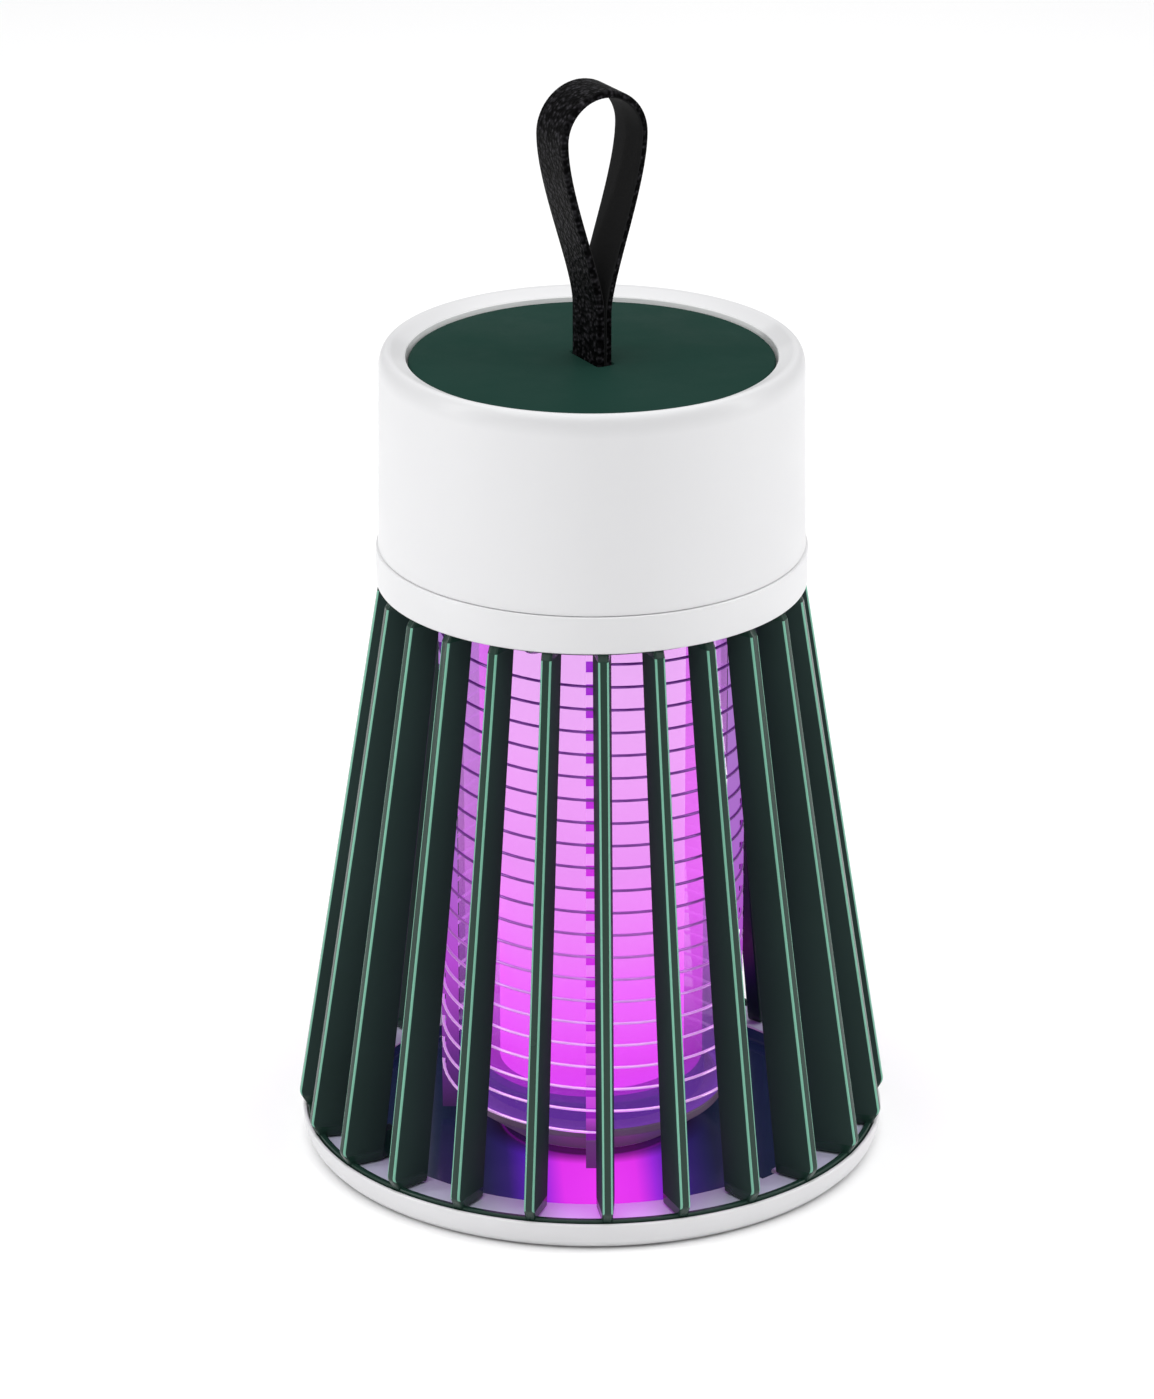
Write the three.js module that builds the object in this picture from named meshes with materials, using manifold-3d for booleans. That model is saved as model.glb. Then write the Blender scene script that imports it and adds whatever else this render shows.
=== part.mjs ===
// Electric bug zapper: a white battery head with a carrying strap, a cone of dark green guard
// fins, a glowing tube inside two interleaved high-voltage wires, and a twist-off base tray.
// Millimetres, +Z up. The origin is the centre of the surface that it stands on, and the
// front is -Y. Azimuths are in degrees from the front towards +X.

import * as THREE from 'three';
import { mergeVertices } from 'three/addons/utils/BufferGeometryUtils.js';
import Module from 'manifold-3d';

const wasm = await Module();
wasm.setup();

// ------------------------------------------------------------------ driving dimensions

const GAP = 0.3;                      // between pieces that touch or slide
const ROUND_SIDES = 40;               // sides of the large round mouldings
const SMALL_SIDES = 32;               // sides of the tube and the grid's plates

const FOOT_RADIUS = 5;
const FOOT_HEIGHT = 1.2;
const FOOT_RING = 46;                 // distance of the feet from the axis

const BASE_RADIUS = 64.5;             // widest point of the tray, at its rim
const BASE_BOTTOM_RADIUS = 62;
const BASE_CLEARANCE = 0.4;           // tray edge above the ground, carried by the feet
const RIM_TOP = 6.6;
const RIM_WIDTH = 0.9;
const LEDGE_TOP = 6.2;                // flat ring that the fins stand over
const LEDGE_OUTER = 61.7;
const DISH_RADIUS = 53;               // wall of the dead-insect dish
const DISH_FLOOR = 2.8;

const FIN_COUNT = 24;
const FIN_THICKNESS = 4;              // at its inner edge
const FIN_NOSE_THICKNESS = 2.2;
const FIN_TOP = 130.2;
const FIN_BOTTOM = 6.6;
const FIN_OUTER_TOP = 46.2;           // radius of the outer edge at the top
const FIN_OUTER_BOTTOM = 65.2;        // and just above the bottom chamfer
const FIN_INNER_TOP = 39.6;
const FIN_INNER_BOTTOM = 55.5;
const FIN_CHAMFER = 3.1;

const CAGE_RING_INNER = 34;           // flange that is screwed under the head
const CAGE_RING_OUTER = 42;
const CAGE_RING_HEIGHT = 1.6;

const TWIST_RANGE = 18;               // degrees from locked to free
const HOOK_AZIMUTHS = [60, 180, 300];
const HOOK_THICKNESS = 3;
const HOOK_MARGIN = 2.7;              // degrees of play either side of a hook

const HEAD_BOTTOM = 130.5;
const SEAM = 138.6;                   // joint line between the two halves of the head
const COLLAR_RADIUS = 46.6;
const HEAD_RADIUS_BOTTOM = 46.1;
const HEAD_RADIUS_TOP = 45.6;
const HEAD_TOP = 182.9;
const HEAD_WALL = 2.4;
const SHOULDER_WIDTH = 2;             // half-axes of the rim's rounded shoulder
const SHOULDER_HEIGHT = 4;
const HEAD_FLOOR_TOP = 132.8;

const LID_RADIUS = 39.3;
const LID_TOP = 180.5;
const LID_THICKNESS = 2.6;
const LID_SEAT = LID_TOP - LID_THICKNESS - GAP;

const STRAP_YAW = 27;                 // turn of the strap about Z
const STRAP_WIDTH = 11.6;
const STRAP_LAYER = 1.6;
const STRAP_HALF_SPAN = 10.4;         // half the outside width of the loop
const STRAP_TOP = 240.8;
const STRAP_JOIN = 193.4;             // where the two layers part
const STRAP_PIVOT = 182.8;            // where the loop bends over
const CLAMP_SCREW_OFFSET = 13;        // from the axis, along the strap's width
const CLAMP_TOP = 175.9;
const CLAMP_THICKNESS = 1.4;

const TUBE_RADIUS = 24.5;
const TUBE_WALL = 4.1;
const TUBE_BOTTOM = 18;
const TUBE_TOP = 134.6;
const SLEEVE_RADIUS = 29.4;           // translucent sleeve between the tube and the wires
const SLEEVE_WALL = 1.4;
const SLEEVE_TOP = 127.2;

const GRID_PLATE_BOTTOM = 3.6;
const GRID_PLATE_TOP = 12.3;
const GRID_RADIUS = 33;               // centre of the wires
const WIRE_WIDTH = 0.8;
const WIRE_PITCH = 5.22;              // between neighbouring turns of the two wires
const WIRE_FIRST = 13.55;             // lowest level at the front
const WIRE_LEVELS = 21;
const WIRE_STEPS_PER_TURN = 16;
const POST_COUNT = 4;
const POST_YAW = -3;
const POST_INNER = 29.6;
const POST_OUTER = 33.3;
const POST_THICKNESS = 2.6;
const POST_BOTTOM = 5;
const POST_TOP = 127;
const TOP_PLATE_RADIUS = 33.6;           // ring that holds the posts' upper ends
const TOP_PLATE_BOTTOM = POST_TOP + GAP;

const BOARD_BOTTOM = 145;
const BOARD_THICKNESS = 1.6;
const BOARD_RADIUS = 35.5;
const BOARD_TOP = BOARD_BOTTOM + BOARD_THICKNESS;
const USB_HALF_WIDTH = 4.5;
const USB_BOTTOM = BOARD_TOP + 0.2;
const USB_TOP = USB_BOTTOM + 3.2;
const LEAD_AZIMUTHS = [60, 180];
const LEAD_RING = 29;

const CELL_RADIUS = 9.2;
const CELL_LENGTH = 65;
const CELL_AXIS = 161.5;

const BUTTON_HEIGHT = 162;
const BUTTON_RADIUS = 5;
const BUTTON_FACE = 46.6;             // distance of its face from the axis
const LENS_RADIUS = 1.4;
const LENS_HEIGHT = 171;

const HOUSING_SCREW_AZIMUTHS = [30, 150, 270];
const HOUSING_SCREW_RING = 39.2;
const CAGE_SCREW_AZIMUTHS = [97.5, 217.5, 337.5];
const CAGE_SCREW_RING = 37;
const BOARD_SCREW_AZIMUTHS = [0, 120, 240];
const BOARD_SCREW_RING = 30;

// ------------------------------------------------------------------ finishes

const FINISH = {
  whitePlastic: { color: 0xe9e9ec, roughness: 0.35, metalness: 0 },
  greenPlastic: { color: 0x1d3a32, roughness: 0.22, metalness: 0 },
  lidPlastic: { color: 0x263e37, roughness: 0.45, metalness: 0 },
  strapLeather: { color: 0x222024, roughness: 0.6, metalness: 0 },
  rubber: { color: 0x2a2a2c, roughness: 0.85, metalness: 0 },
  tube: { color: 0xe9b8f6, roughness: 0.4, metalness: 0 },
  violetPlastic: { color: 0x3a2470, roughness: 0.4, metalness: 0 },
  greyPlastic: { color: 0x6a6470, roughness: 0.5, metalness: 0 },
  sleeve: { color: 0xd9a4ea, roughness: 0.3, metalness: 0, transparent: true, opacity: 0.6 },
  clearPlastic: { color: 0xc77ad8, roughness: 0.2, metalness: 0 },
  wire: { color: 0xb9bcc4, roughness: 0.25, metalness: 1 },
  steel: { color: 0xa9adb3, roughness: 0.3, metalness: 1 },
  nickel: { color: 0xc2bda9, roughness: 0.35, metalness: 1 },
  circuitBoard: { color: 0x1f5a3a, roughness: 0.5, metalness: 0 },
  cellWrap: { color: 0x2f63b8, roughness: 0.4, metalness: 0 },
  blackPlastic: { color: 0x1b1b1d, roughness: 0.5, metalness: 0 },
  copperLead: { color: 0xc23a2b, roughness: 0.5, metalness: 0 },
  ledPackage: { color: 0xf3efe0, roughness: 0.3, metalness: 0 },
};

// ------------------------------------------------------------------ geometry helpers

const radians = THREE.MathUtils.degToRad;

// A point at a distance from the axis, in the direction of an azimuth.
function around(radius, azimuth, z = 0) {
  return new THREE.Vector3(radius * Math.sin(radians(azimuth)), -radius * Math.cos(radians(azimuth)), z);
}

// Merged, indexed copy with positions only, no collapsed triangles, and its faces pointing out.
function closedGeometry(geometry) {
  const bare = geometry.clone();
  bare.deleteAttribute('normal');
  bare.deleteAttribute('uv');
  const merged = mergeVertices(bare, 1e-4);
  const position = merged.getAttribute('position');
  const kept = [];
  let volume = 0;
  const corners = [new THREE.Vector3(), new THREE.Vector3(), new THREE.Vector3()];
  for (let i = 0; i < merged.index.count; i += 3) {
    const face = [0, 1, 2].map((k) => merged.index.getX(i + k));
    if (new Set(face).size < 3) continue;
    kept.push(face);
    face.forEach((vertex, k) => corners[k].fromBufferAttribute(position, vertex));
    volume += corners[0].dot(corners[1].clone().cross(corners[2])) / 6;
  }
  merged.setIndex(kept.flatMap(([a, b, c]) => (volume > 0 ? [a, b, c] : [a, c, b])));
  return merged;
}

function toSolid(geometry) {
  const closed = closedGeometry(geometry);
  return new wasm.Manifold(new wasm.Mesh({
    numProp: 3,
    vertProperties: new Float32Array(closed.getAttribute('position').array),
    triVerts: new Uint32Array(closed.index.array),
  }));
}

function fromSolid(solid) {
  const mesh = solid.getMesh();
  const geometry = new THREE.BufferGeometry();
  geometry.setAttribute('position', new THREE.BufferAttribute(new Float32Array(mesh.vertProperties), 3));
  geometry.setIndex(Array.from(mesh.triVerts));
  return geometry;
}

// One body from a list of geometries joined, less a list of geometries cut away.
function combine(joined, cut = []) {
  let solid = toSolid(joined[0]);
  for (const geometry of joined.slice(1)) solid = solid.add(toSolid(geometry));
  for (const geometry of cut) solid = solid.subtract(toSolid(geometry));
  return fromSolid(solid);
}

// Solid of revolution about Z from [radius, z] points. A profile that leaves the axis is closed.
function revolve(profile, sides = ROUND_SIDES) {
  const points = profile.map(([r, z]) => new THREE.Vector2(r, z));
  const onAxis = points[0].x === 0 && points.at(-1).x === 0;
  if (!onAxis) points.push(points[0].clone());
  return new THREE.LatheGeometry(points, sides).rotateX(Math.PI / 2);
}

// Points of an arc in the profile plane, from one angle to another.
function arc(radius, z, size, from, to, steps) {
  return Array.from({ length: steps + 1 }, (_, i) => {
    const angle = radians(from + ((to - from) * i) / steps);
    return [radius + size * Math.cos(angle), z + size * Math.sin(angle)];
  });
}

function shapeOf(points) {
  return new THREE.Shape(points.map(([x, y]) => new THREE.Vector2(x, y)));
}

// Flat plate that stands in the plane of an azimuth, from an outline of [radius, z] points.
function radialPlate(shape, thickness, azimuth) {
  const plate = new THREE.ExtrudeGeometry(shape, { depth: thickness, bevelEnabled: false });
  plate.translate(0, 0, -thickness / 2);
  return plate.rotateX(Math.PI / 2).rotateZ(radians(azimuth - 90));
}

// Part of a ring between two azimuths.
function sector(inner, outer, bottom, top, from, to) {
  const start = radians(from - 90);
  const end = radians(to - 90);
  const shape = new THREE.Shape();
  shape.absarc(0, 0, outer, start, end, false);
  shape.absarc(0, 0, inner, end, start, true);
  const depth = top - bottom;
  return new THREE.ExtrudeGeometry(shape, { depth, bevelEnabled: false, curveSegments: 6 })
    .translate(0, 0, bottom);
}

// Upright cylinder that starts at a height.
function pillar(radius, bottom, top, sides = 12) {
  return new THREE.CylinderGeometry(radius, radius, top - bottom, sides)
    .rotateX(Math.PI / 2)
    .translate(0, 0, (bottom + top) / 2);
}

// Block from its lowest and highest corners.
function block(low, high) {
  const size = high.map((value, i) => value - low[i]);
  const centre = high.map((value, i) => (value + low[i]) / 2);
  return new THREE.BoxGeometry(...size).translate(...centre);
}

function movedTo(geometry, point) {
  return geometry.clone().translate(point.x, point.y, point.z);
}

// Round bar along a curve.
function bar(curve, width, sides, steps) {
  const section = new THREE.Shape();
  for (let i = 0; i < sides; i += 1) {
    const angle = ((i + 0.5) * 2 * Math.PI) / sides;
    const radius = width / 2;
    if (i === 0) section.moveTo(radius * Math.cos(angle), radius * Math.sin(angle));
    else section.lineTo(radius * Math.cos(angle), radius * Math.sin(angle));
  }
  return new THREE.ExtrudeGeometry(section, { steps, extrudePath: curve, bevelEnabled: false });
}

function part(name, geometry, finish) {
  const mesh = new THREE.Mesh(closedGeometry(geometry), new THREE.MeshStandardMaterial(finish));
  mesh.name = name;
  return mesh;
}

function placed(mesh, point, yaw = 0) {
  mesh.position.copy(point);
  mesh.rotation.z = radians(yaw);
  return mesh;
}

function groupOf(...meshes) {
  const group = new THREE.Group();
  group.add(...meshes);
  return group;
}

// Pan-head screw that points up, with its head's top face at the origin.
function screwGeometry(length) {
  const headRadius = 2.4;
  const headHeight = 1.5;
  const shankRadius = 1.2;
  const tip = length - 0.8;
  return revolve([
    [0, 0], [headRadius - 0.6, 0], [headRadius, 0.6], [headRadius, headHeight],
    [shankRadius, headHeight], [shankRadius, tip], [0, length],
  ], 8);
}

// ------------------------------------------------------------------ base tray

function trayProfile() {
  const wallInner = BASE_RADIUS - RIM_WIDTH;
  const grooveFloor = 4.9;
  const channelTop = 3.6;
  const channelInner = 56.8;
  const channelOuter = 60.8;
  const underside = DISH_FLOOR - 1.3;
  return [
    [0, DISH_FLOOR], [DISH_RADIUS - 1, DISH_FLOOR], [DISH_RADIUS, DISH_FLOOR + 1],
    [DISH_RADIUS, LEDGE_TOP], [LEDGE_OUTER, LEDGE_TOP], [LEDGE_OUTER, grooveFloor],
    [wallInner, grooveFloor], [wallInner, RIM_TOP - 0.2], [wallInner + 0.2, RIM_TOP],
    [BASE_RADIUS - 0.3, RIM_TOP], [BASE_RADIUS, RIM_TOP - 0.5], [BASE_RADIUS - 0.3, 3.8],
    [BASE_RADIUS - 1.1, 1.8], [BASE_BOTTOM_RADIUS, BASE_CLEARANCE],
    [channelOuter, BASE_CLEARANCE], [channelOuter, channelTop],
    [channelInner, channelTop], [channelInner, underside], [0, underside],
  ];
}

// Slot that a hook of the cage slides along, with the way in at its free end.
function hookSlot(azimuth) {
  const slotInner = DISH_RADIUS - 1;
  const slotOuter = DISH_RADIUS + 2.1;
  const slotBottom = 3.2;
  const slotTop = 5.2;
  const entry = azimuth - TWIST_RANGE;
  return [
    sector(slotInner, slotOuter, slotBottom, slotTop, entry - HOOK_MARGIN, azimuth + HOOK_MARGIN),
    sector(slotInner, slotOuter, slotBottom, LEDGE_TOP + 1, entry - HOOK_MARGIN, entry + HOOK_MARGIN),
  ];
}

function baseParts() {
  const slots = HOOK_AZIMUTHS.flatMap(hookSlot);
  const tray = part('base_tray', combine([revolve(trayProfile())], slots), FINISH.whitePlastic);
  const footTop = FOOT_HEIGHT;
  const foot = revolve([
    [0, 0], [FOOT_RADIUS - 0.4, 0], [FOOT_RADIUS, 0.4], [FOOT_RADIUS, footTop], [0, footTop],
  ], 16);
  const feet = [0, 90, 180, 270].map((azimuth, i) => (
    placed(part(`rubber_foot_${i + 1}`, foot, FINISH.rubber), around(FOOT_RING, azimuth + 45))
  ));
  return groupOf(tray, ...feet);
}

// ------------------------------------------------------------------ fin cage

// The fin's inner and outer edges lean in from the base to the head.
function finOuter(z) {
  const low = FIN_BOTTOM + FIN_CHAMFER;
  return THREE.MathUtils.mapLinear(z, low, FIN_TOP, FIN_OUTER_BOTTOM, FIN_OUTER_TOP);
}

function finInner(z) {
  return THREE.MathUtils.mapLinear(z, FIN_BOTTOM, FIN_TOP, FIN_INNER_BOTTOM, FIN_INNER_TOP);
}

function finShape() {
  const cornerTop = 1.4;
  return shapeOf([
    [FIN_INNER_BOTTOM, FIN_BOTTOM], [FIN_OUTER_BOTTOM - 1.8, FIN_BOTTOM],
    [FIN_OUTER_BOTTOM, FIN_BOTTOM + FIN_CHAMFER], [finOuter(FIN_TOP - cornerTop), FIN_TOP - cornerTop],
    [FIN_OUTER_TOP - cornerTop / 2, FIN_TOP], [FIN_INNER_TOP, FIN_TOP],
  ]);
}

// A fin gets thinner from its inner edge to its nose.
function finPlate(azimuth) {
  const plate = new THREE.ExtrudeGeometry(finShape(), { depth: 1, bevelEnabled: false });
  plate.translate(0, 0, -0.5);
  const points = plate.getAttribute('position');
  for (let i = 0; i < points.count; i += 1) {
    const z = points.getY(i);
    const thickness = THREE.MathUtils.mapLinear(
      points.getX(i),
      finInner(z),
      finOuter(z),
      FIN_THICKNESS,
      FIN_NOSE_THICKNESS,
    );
    points.setZ(i, points.getZ(i) * thickness);
  }
  return plate.rotateX(Math.PI / 2).rotateZ(radians(azimuth - 90));
}

// L-shaped hook under a fin, which reaches into the tray's slot.
function hookShape() {
  const stemInner = DISH_RADIUS - 2.6;
  const stemOuter = DISH_RADIUS - 0.4;
  const toeBottom = 3.6;
  const toeTop = 4.8;
  const rootTop = 13;
  return shapeOf([
    [stemInner, toeBottom], [DISH_RADIUS + 1.7, toeBottom], [DISH_RADIUS + 1.7, toeTop],
    [stemOuter, toeTop], [stemOuter, FIN_BOTTOM + 0.2], [FIN_INNER_BOTTOM + 2, FIN_BOTTOM + 0.2],
    [FIN_INNER_BOTTOM + 2, rootTop], [stemInner + 1.4, rootTop], [stemInner, 9],
  ]);
}

function cageParts() {
  const fins = Array.from({ length: FIN_COUNT }, (_, i) => finPlate((i * 360) / FIN_COUNT));
  const hooks = HOOK_AZIMUTHS.map((azimuth) => radialPlate(hookShape(), HOOK_THICKNESS, azimuth));
  const flange = revolve([
    [CAGE_RING_INNER, FIN_TOP - CAGE_RING_HEIGHT], [CAGE_RING_OUTER, FIN_TOP - CAGE_RING_HEIGHT],
    [CAGE_RING_OUTER, FIN_TOP], [CAGE_RING_INNER, FIN_TOP],
  ]);
  const hoopInner = LEDGE_OUTER + GAP;
  const hoopOuter = BASE_RADIUS - RIM_WIDTH - GAP;
  const hoopBottom = 5.2;
  const hoop = revolve([
    [hoopInner, hoopBottom], [hoopOuter, hoopBottom], [hoopOuter, 7.2], [hoopInner, 7.2],
  ], 48);
  const holes = CAGE_SCREW_AZIMUTHS.map((azimuth) => (
    movedTo(pillar(1.6, FIN_TOP - 4, FIN_TOP + 1), around(CAGE_SCREW_RING, azimuth))
  ));
  const cage = part('fin_cage', combine([flange, hoop, ...fins, ...hooks], holes), FINISH.greenPlastic);
  const headGap = 0.2;
  const screwTop = FIN_TOP - CAGE_RING_HEIGHT - headGap - 1.5;
  const screws = CAGE_SCREW_AZIMUTHS.map((azimuth, i) => {
    const screw = part(`cage_screw_${i + 1}`, screwGeometry(8), FINISH.steel);
    return placed(screw, around(CAGE_SCREW_RING, azimuth, screwTop));
  });
  return groupOf(cage, ...screws);
}

// ------------------------------------------------------------------ high-voltage grid

const wireLead = 2 * WIRE_PITCH;
const wireTop = WIRE_FIRST + WIRE_LEVELS * WIRE_PITCH;

// Height of the first wire's turn at an azimuth, above its level at the front.
function wireDrop(azimuth) {
  return (-wireLead * azimuth) / 360;
}

class WireHelix extends THREE.Curve {
  constructor(startAzimuth) {
    super();
    this.startAzimuth = startAzimuth;
    this.turns = (wireTop - WIRE_FIRST) / wireLead;
  }

  getPoint(t) {
    const azimuth = this.startAzimuth - 360 * this.turns * t;
    return around(GRID_RADIUS, azimuth, WIRE_FIRST + wireLead * this.turns * t);
  }
}

function wirePart(name, startAzimuth) {
  const helix = new WireHelix(startAzimuth);
  const steps = Math.round(helix.turns * WIRE_STEPS_PER_TURN);
  return part(name, bar(helix, WIRE_WIDTH, 3, steps), FINISH.wire);
}

// Comb-shaped post: a tooth between every two turns of wire that pass it.
function postShape(azimuth) {
  const notchFloor = 31.3;
  const notchBelow = 1.9;
  const notchAbove = 0.6;
  const outline = [[POST_INNER, POST_TOP], [POST_INNER, POST_BOTTOM], [POST_OUTER, POST_BOTTOM]];
  const phase = THREE.MathUtils.euclideanModulo(wireDrop(azimuth), WIRE_PITCH);
  const first = WIRE_FIRST + phase;
  for (let level = first; level < wireTop + WIRE_PITCH; level += WIRE_PITCH) {
    if (level + notchAbove >= POST_TOP) continue;
    outline.push([POST_OUTER, level - notchBelow], [notchFloor, level - notchBelow]);
    outline.push([notchFloor, level + notchAbove], [POST_OUTER, level + notchAbove]);
  }
  outline.push([POST_OUTER, POST_TOP]);
  return shapeOf(outline);
}

function gridParts() {
  const hub = 20.5;
  const plate = revolve([
    [0, GRID_PLATE_BOTTOM], [hub - 0.6, GRID_PLATE_BOTTOM], [hub, GRID_PLATE_BOTTOM + 0.8],
    [SLEEVE_RADIUS, GRID_PLATE_TOP - 1.7], [SLEEVE_RADIUS, GRID_PLATE_TOP],
    [SLEEVE_RADIUS - 2, GRID_PLATE_TOP], [SLEEVE_RADIUS - 2, GRID_PLATE_TOP - 1.3],
    [hub - 0.9, GRID_PLATE_BOTTOM + 2], [0, GRID_PLATE_BOTTOM + 2],
  ], SMALL_SIDES);
  const topPlateHole = TUBE_RADIUS + 1;
  const topPlate = revolve([
    [topPlateHole, TOP_PLATE_BOTTOM], [TOP_PLATE_RADIUS, TOP_PLATE_BOTTOM],
    [TOP_PLATE_RADIUS, FIN_TOP], [topPlateHole, FIN_TOP],
  ], SMALL_SIDES);
  const posts = Array.from({ length: POST_COUNT }, (_, i) => {
    const azimuth = POST_YAW + (i * 360) / POST_COUNT;
    const post = radialPlate(postShape(azimuth), POST_THICKNESS, azimuth);
    return part(`grid_post_${i + 1}`, post, FINISH.clearPlastic);
  });
  return groupOf(
    part('grid_bottom_plate', plate, FINISH.greyPlastic),
    part('grid_top_plate', topPlate, FINISH.violetPlastic),
    ...posts,
    wirePart('grid_wire_live', 0),
    wirePart('grid_wire_return', 180),
  );
}

// ------------------------------------------------------------------ light tube

function lightParts() {
  const bore = TUBE_RADIUS - TUBE_WALL;
  const flangeBottom = HEAD_FLOOR_TOP + 0.2;
  const tube = revolve([
    [bore, TUBE_BOTTOM], [TUBE_RADIUS, TUBE_BOTTOM], [TUBE_RADIUS, flangeBottom],
    [TUBE_RADIUS + 2.2, flangeBottom], [TUBE_RADIUS + 2.2, TUBE_TOP], [bore, TUBE_TOP],
  ], SMALL_SIDES);
  const capBottom = GRID_PLATE_TOP + 0.1;
  const capTop = TUBE_BOTTOM - GAP;
  const cap = revolve([
    [0, capBottom], [TUBE_RADIUS + 0.6, capBottom], [TUBE_RADIUS + 0.6, capTop - 1],
    [TUBE_RADIUS - 0.4, capTop], [bore - GAP, capTop], [bore - GAP, capTop + 4],
    [bore - 2, capTop + 4], [bore - 2, capBottom + 1.6], [0, capBottom + 1.6],
  ], SMALL_SIDES);
  const sleeveBottom = GRID_PLATE_TOP + 0.1;
  const sleeve = revolve([
    [SLEEVE_RADIUS - SLEEVE_WALL, sleeveBottom], [SLEEVE_RADIUS, sleeveBottom],
    [SLEEVE_RADIUS, SLEEVE_TOP], [SLEEVE_RADIUS - SLEEVE_WALL, SLEEVE_TOP],
  ], SMALL_SIDES);
  const boardBottom = TUBE_TOP + 0.2;
  const board = revolve([
    [0, boardBottom], [TUBE_RADIUS + 2, boardBottom],
    [TUBE_RADIUS + 2, boardBottom + 1.6], [0, boardBottom + 1.6],
  ], 24);
  const ledRing = 12;
  const ledHeight = 1.8;
  const leds = [0, 60, 120, 180, 240, 300].map((azimuth, i) => placed(
    part(`uv_led_${i + 1}`, block([-1.75, -1.4, -ledHeight], [1.75, 1.4, 0]), FINISH.ledPackage),
    around(ledRing, azimuth, boardBottom - 0.1),
    azimuth,
  ));
  return groupOf(
    part('light_tube', tube, FINISH.tube),
    part('tube_sleeve', sleeve, FINISH.sleeve),
    part('tube_cap', cap, FINISH.violetPlastic),
    part('led_board', board, FINISH.circuitBoard),
    ...leds,
  );
}

// ------------------------------------------------------------------ head shells

function headBasePart() {
  const wallInner = COLLAR_RADIUS - HEAD_WALL - 0.9;
  const spigotTop = 143;
  const holeRadius = TUBE_RADIUS + 0.8;
  const screwHole = 1.55;
  const shell = revolve([
    [holeRadius, HEAD_BOTTOM], [COLLAR_RADIUS - 0.5, HEAD_BOTTOM], [COLLAR_RADIUS, HEAD_BOTTOM + 0.5],
    [COLLAR_RADIUS - 0.1, SEAM - 0.5], [COLLAR_RADIUS - 0.5, SEAM - 0.1], [wallInner, SEAM - 0.1],
    [wallInner, spigotTop], [wallInner - 1.7, spigotTop], [wallInner - 1.7, HEAD_FLOOR_TOP],
    [holeRadius, HEAD_FLOOR_TOP],
  ]);
  const rooted = HEAD_BOTTOM + 1;
  const solids = [shell];
  const cuts = [];
  for (const azimuth of HOUSING_SCREW_AZIMUTHS) {
    const place = around(HOUSING_SCREW_RING, azimuth);
    solids.push(movedTo(pillar(3.2, rooted, spigotTop), place));
    cuts.push(movedTo(pillar(2.8, HEAD_BOTTOM - 1, 133), place));
    cuts.push(movedTo(pillar(screwHole, HEAD_BOTTOM, spigotTop + 1), place));
  }
  for (const azimuth of CAGE_SCREW_AZIMUTHS) {
    const place = around(CAGE_SCREW_RING, azimuth);
    solids.push(movedTo(pillar(3, rooted, 137.5), place));
    cuts.push(movedTo(pillar(screwHole, HEAD_BOTTOM - 1, 136), place));
  }
  for (const azimuth of BOARD_SCREW_AZIMUTHS) {
    const place = around(BOARD_SCREW_RING, azimuth);
    solids.push(movedTo(pillar(2.6, rooted, BOARD_BOTTOM - 0.2), place));
    cuts.push(movedTo(pillar(screwHole, 138, BOARD_BOTTOM + 1), place));
  }
  for (const azimuth of LEAD_AZIMUTHS) {
    cuts.push(movedTo(pillar(1.6, HEAD_BOTTOM - 1, HEAD_FLOOR_TOP + 1), around(LEAD_RING, azimuth)));
  }
  return part('head_base', combine(solids, cuts), FINISH.whitePlastic);
}

function upperHousingPart() {
  const lip = LID_RADIUS + 0.5;
  const crest = HEAD_RADIUS_TOP - SHOULDER_WIDTH;
  const shoulder = arc(0, 0, 1, 0, 90, 4).map(([across, up]) => (
    [crest + across * SHOULDER_WIDTH, HEAD_TOP + (up - 1) * SHOULDER_HEIGHT]
  ));
  const shelfInner = 36.6;
  const shelfBottom = LID_SEAT - 1.8;
  const bottom = SEAM + 0.3;
  const shell = revolve([
    [HEAD_RADIUS_BOTTOM - HEAD_WALL, bottom], [HEAD_RADIUS_BOTTOM - 0.4, bottom],
    [HEAD_RADIUS_BOTTOM, bottom + 0.4],
    ...shoulder, [crest - 0.7, HEAD_TOP - 0.2], [lip, HEAD_TOP - 1.6],
    [lip, LID_SEAT], [shelfInner, LID_SEAT], [shelfInner, shelfBottom],
    [HEAD_RADIUS_TOP - HEAD_WALL - 1.6, shelfBottom], [HEAD_RADIUS_TOP - HEAD_WALL, shelfBottom - 1.6],
  ]);
  const bossBottom = 143.4;
  const solids = [shell];
  const cuts = [];
  for (const azimuth of HOUSING_SCREW_AZIMUTHS) {
    const place = around(HOUSING_SCREW_RING, azimuth);
    const ribOuter = HEAD_RADIUS_TOP - HEAD_WALL + 0.8;
    solids.push(movedTo(pillar(3.2, bossBottom, shelfBottom + 0.5), place));
    solids.push(radialPlate(shapeOf([
      [HOUSING_SCREW_RING, bossBottom], [ribOuter, bossBottom],
      [ribOuter, shelfBottom + 0.5], [HOUSING_SCREW_RING, shelfBottom + 0.5],
    ]), 1.6, azimuth));
    cuts.push(movedTo(pillar(1.5, bossBottom - 1, 153), place));
  }
  const buttonHole = pillar(BUTTON_RADIUS + GAP, 0, 12, 24).rotateX(-Math.PI / 2);
  cuts.push(buttonHole.translate(0, 38, BUTTON_HEIGHT));
  const lensHole = pillar(LENS_RADIUS + GAP, 0, 12, 12).rotateX(-Math.PI / 2);
  cuts.push(lensHole.translate(0, 38, LENS_HEIGHT));
  cuts.push(block([-USB_HALF_WIDTH - GAP, 40, USB_BOTTOM - GAP], [USB_HALF_WIDTH + GAP, 50, USB_TOP + GAP]));
  return part('upper_housing', combine(solids, cuts), FINISH.whitePlastic);
}

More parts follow.
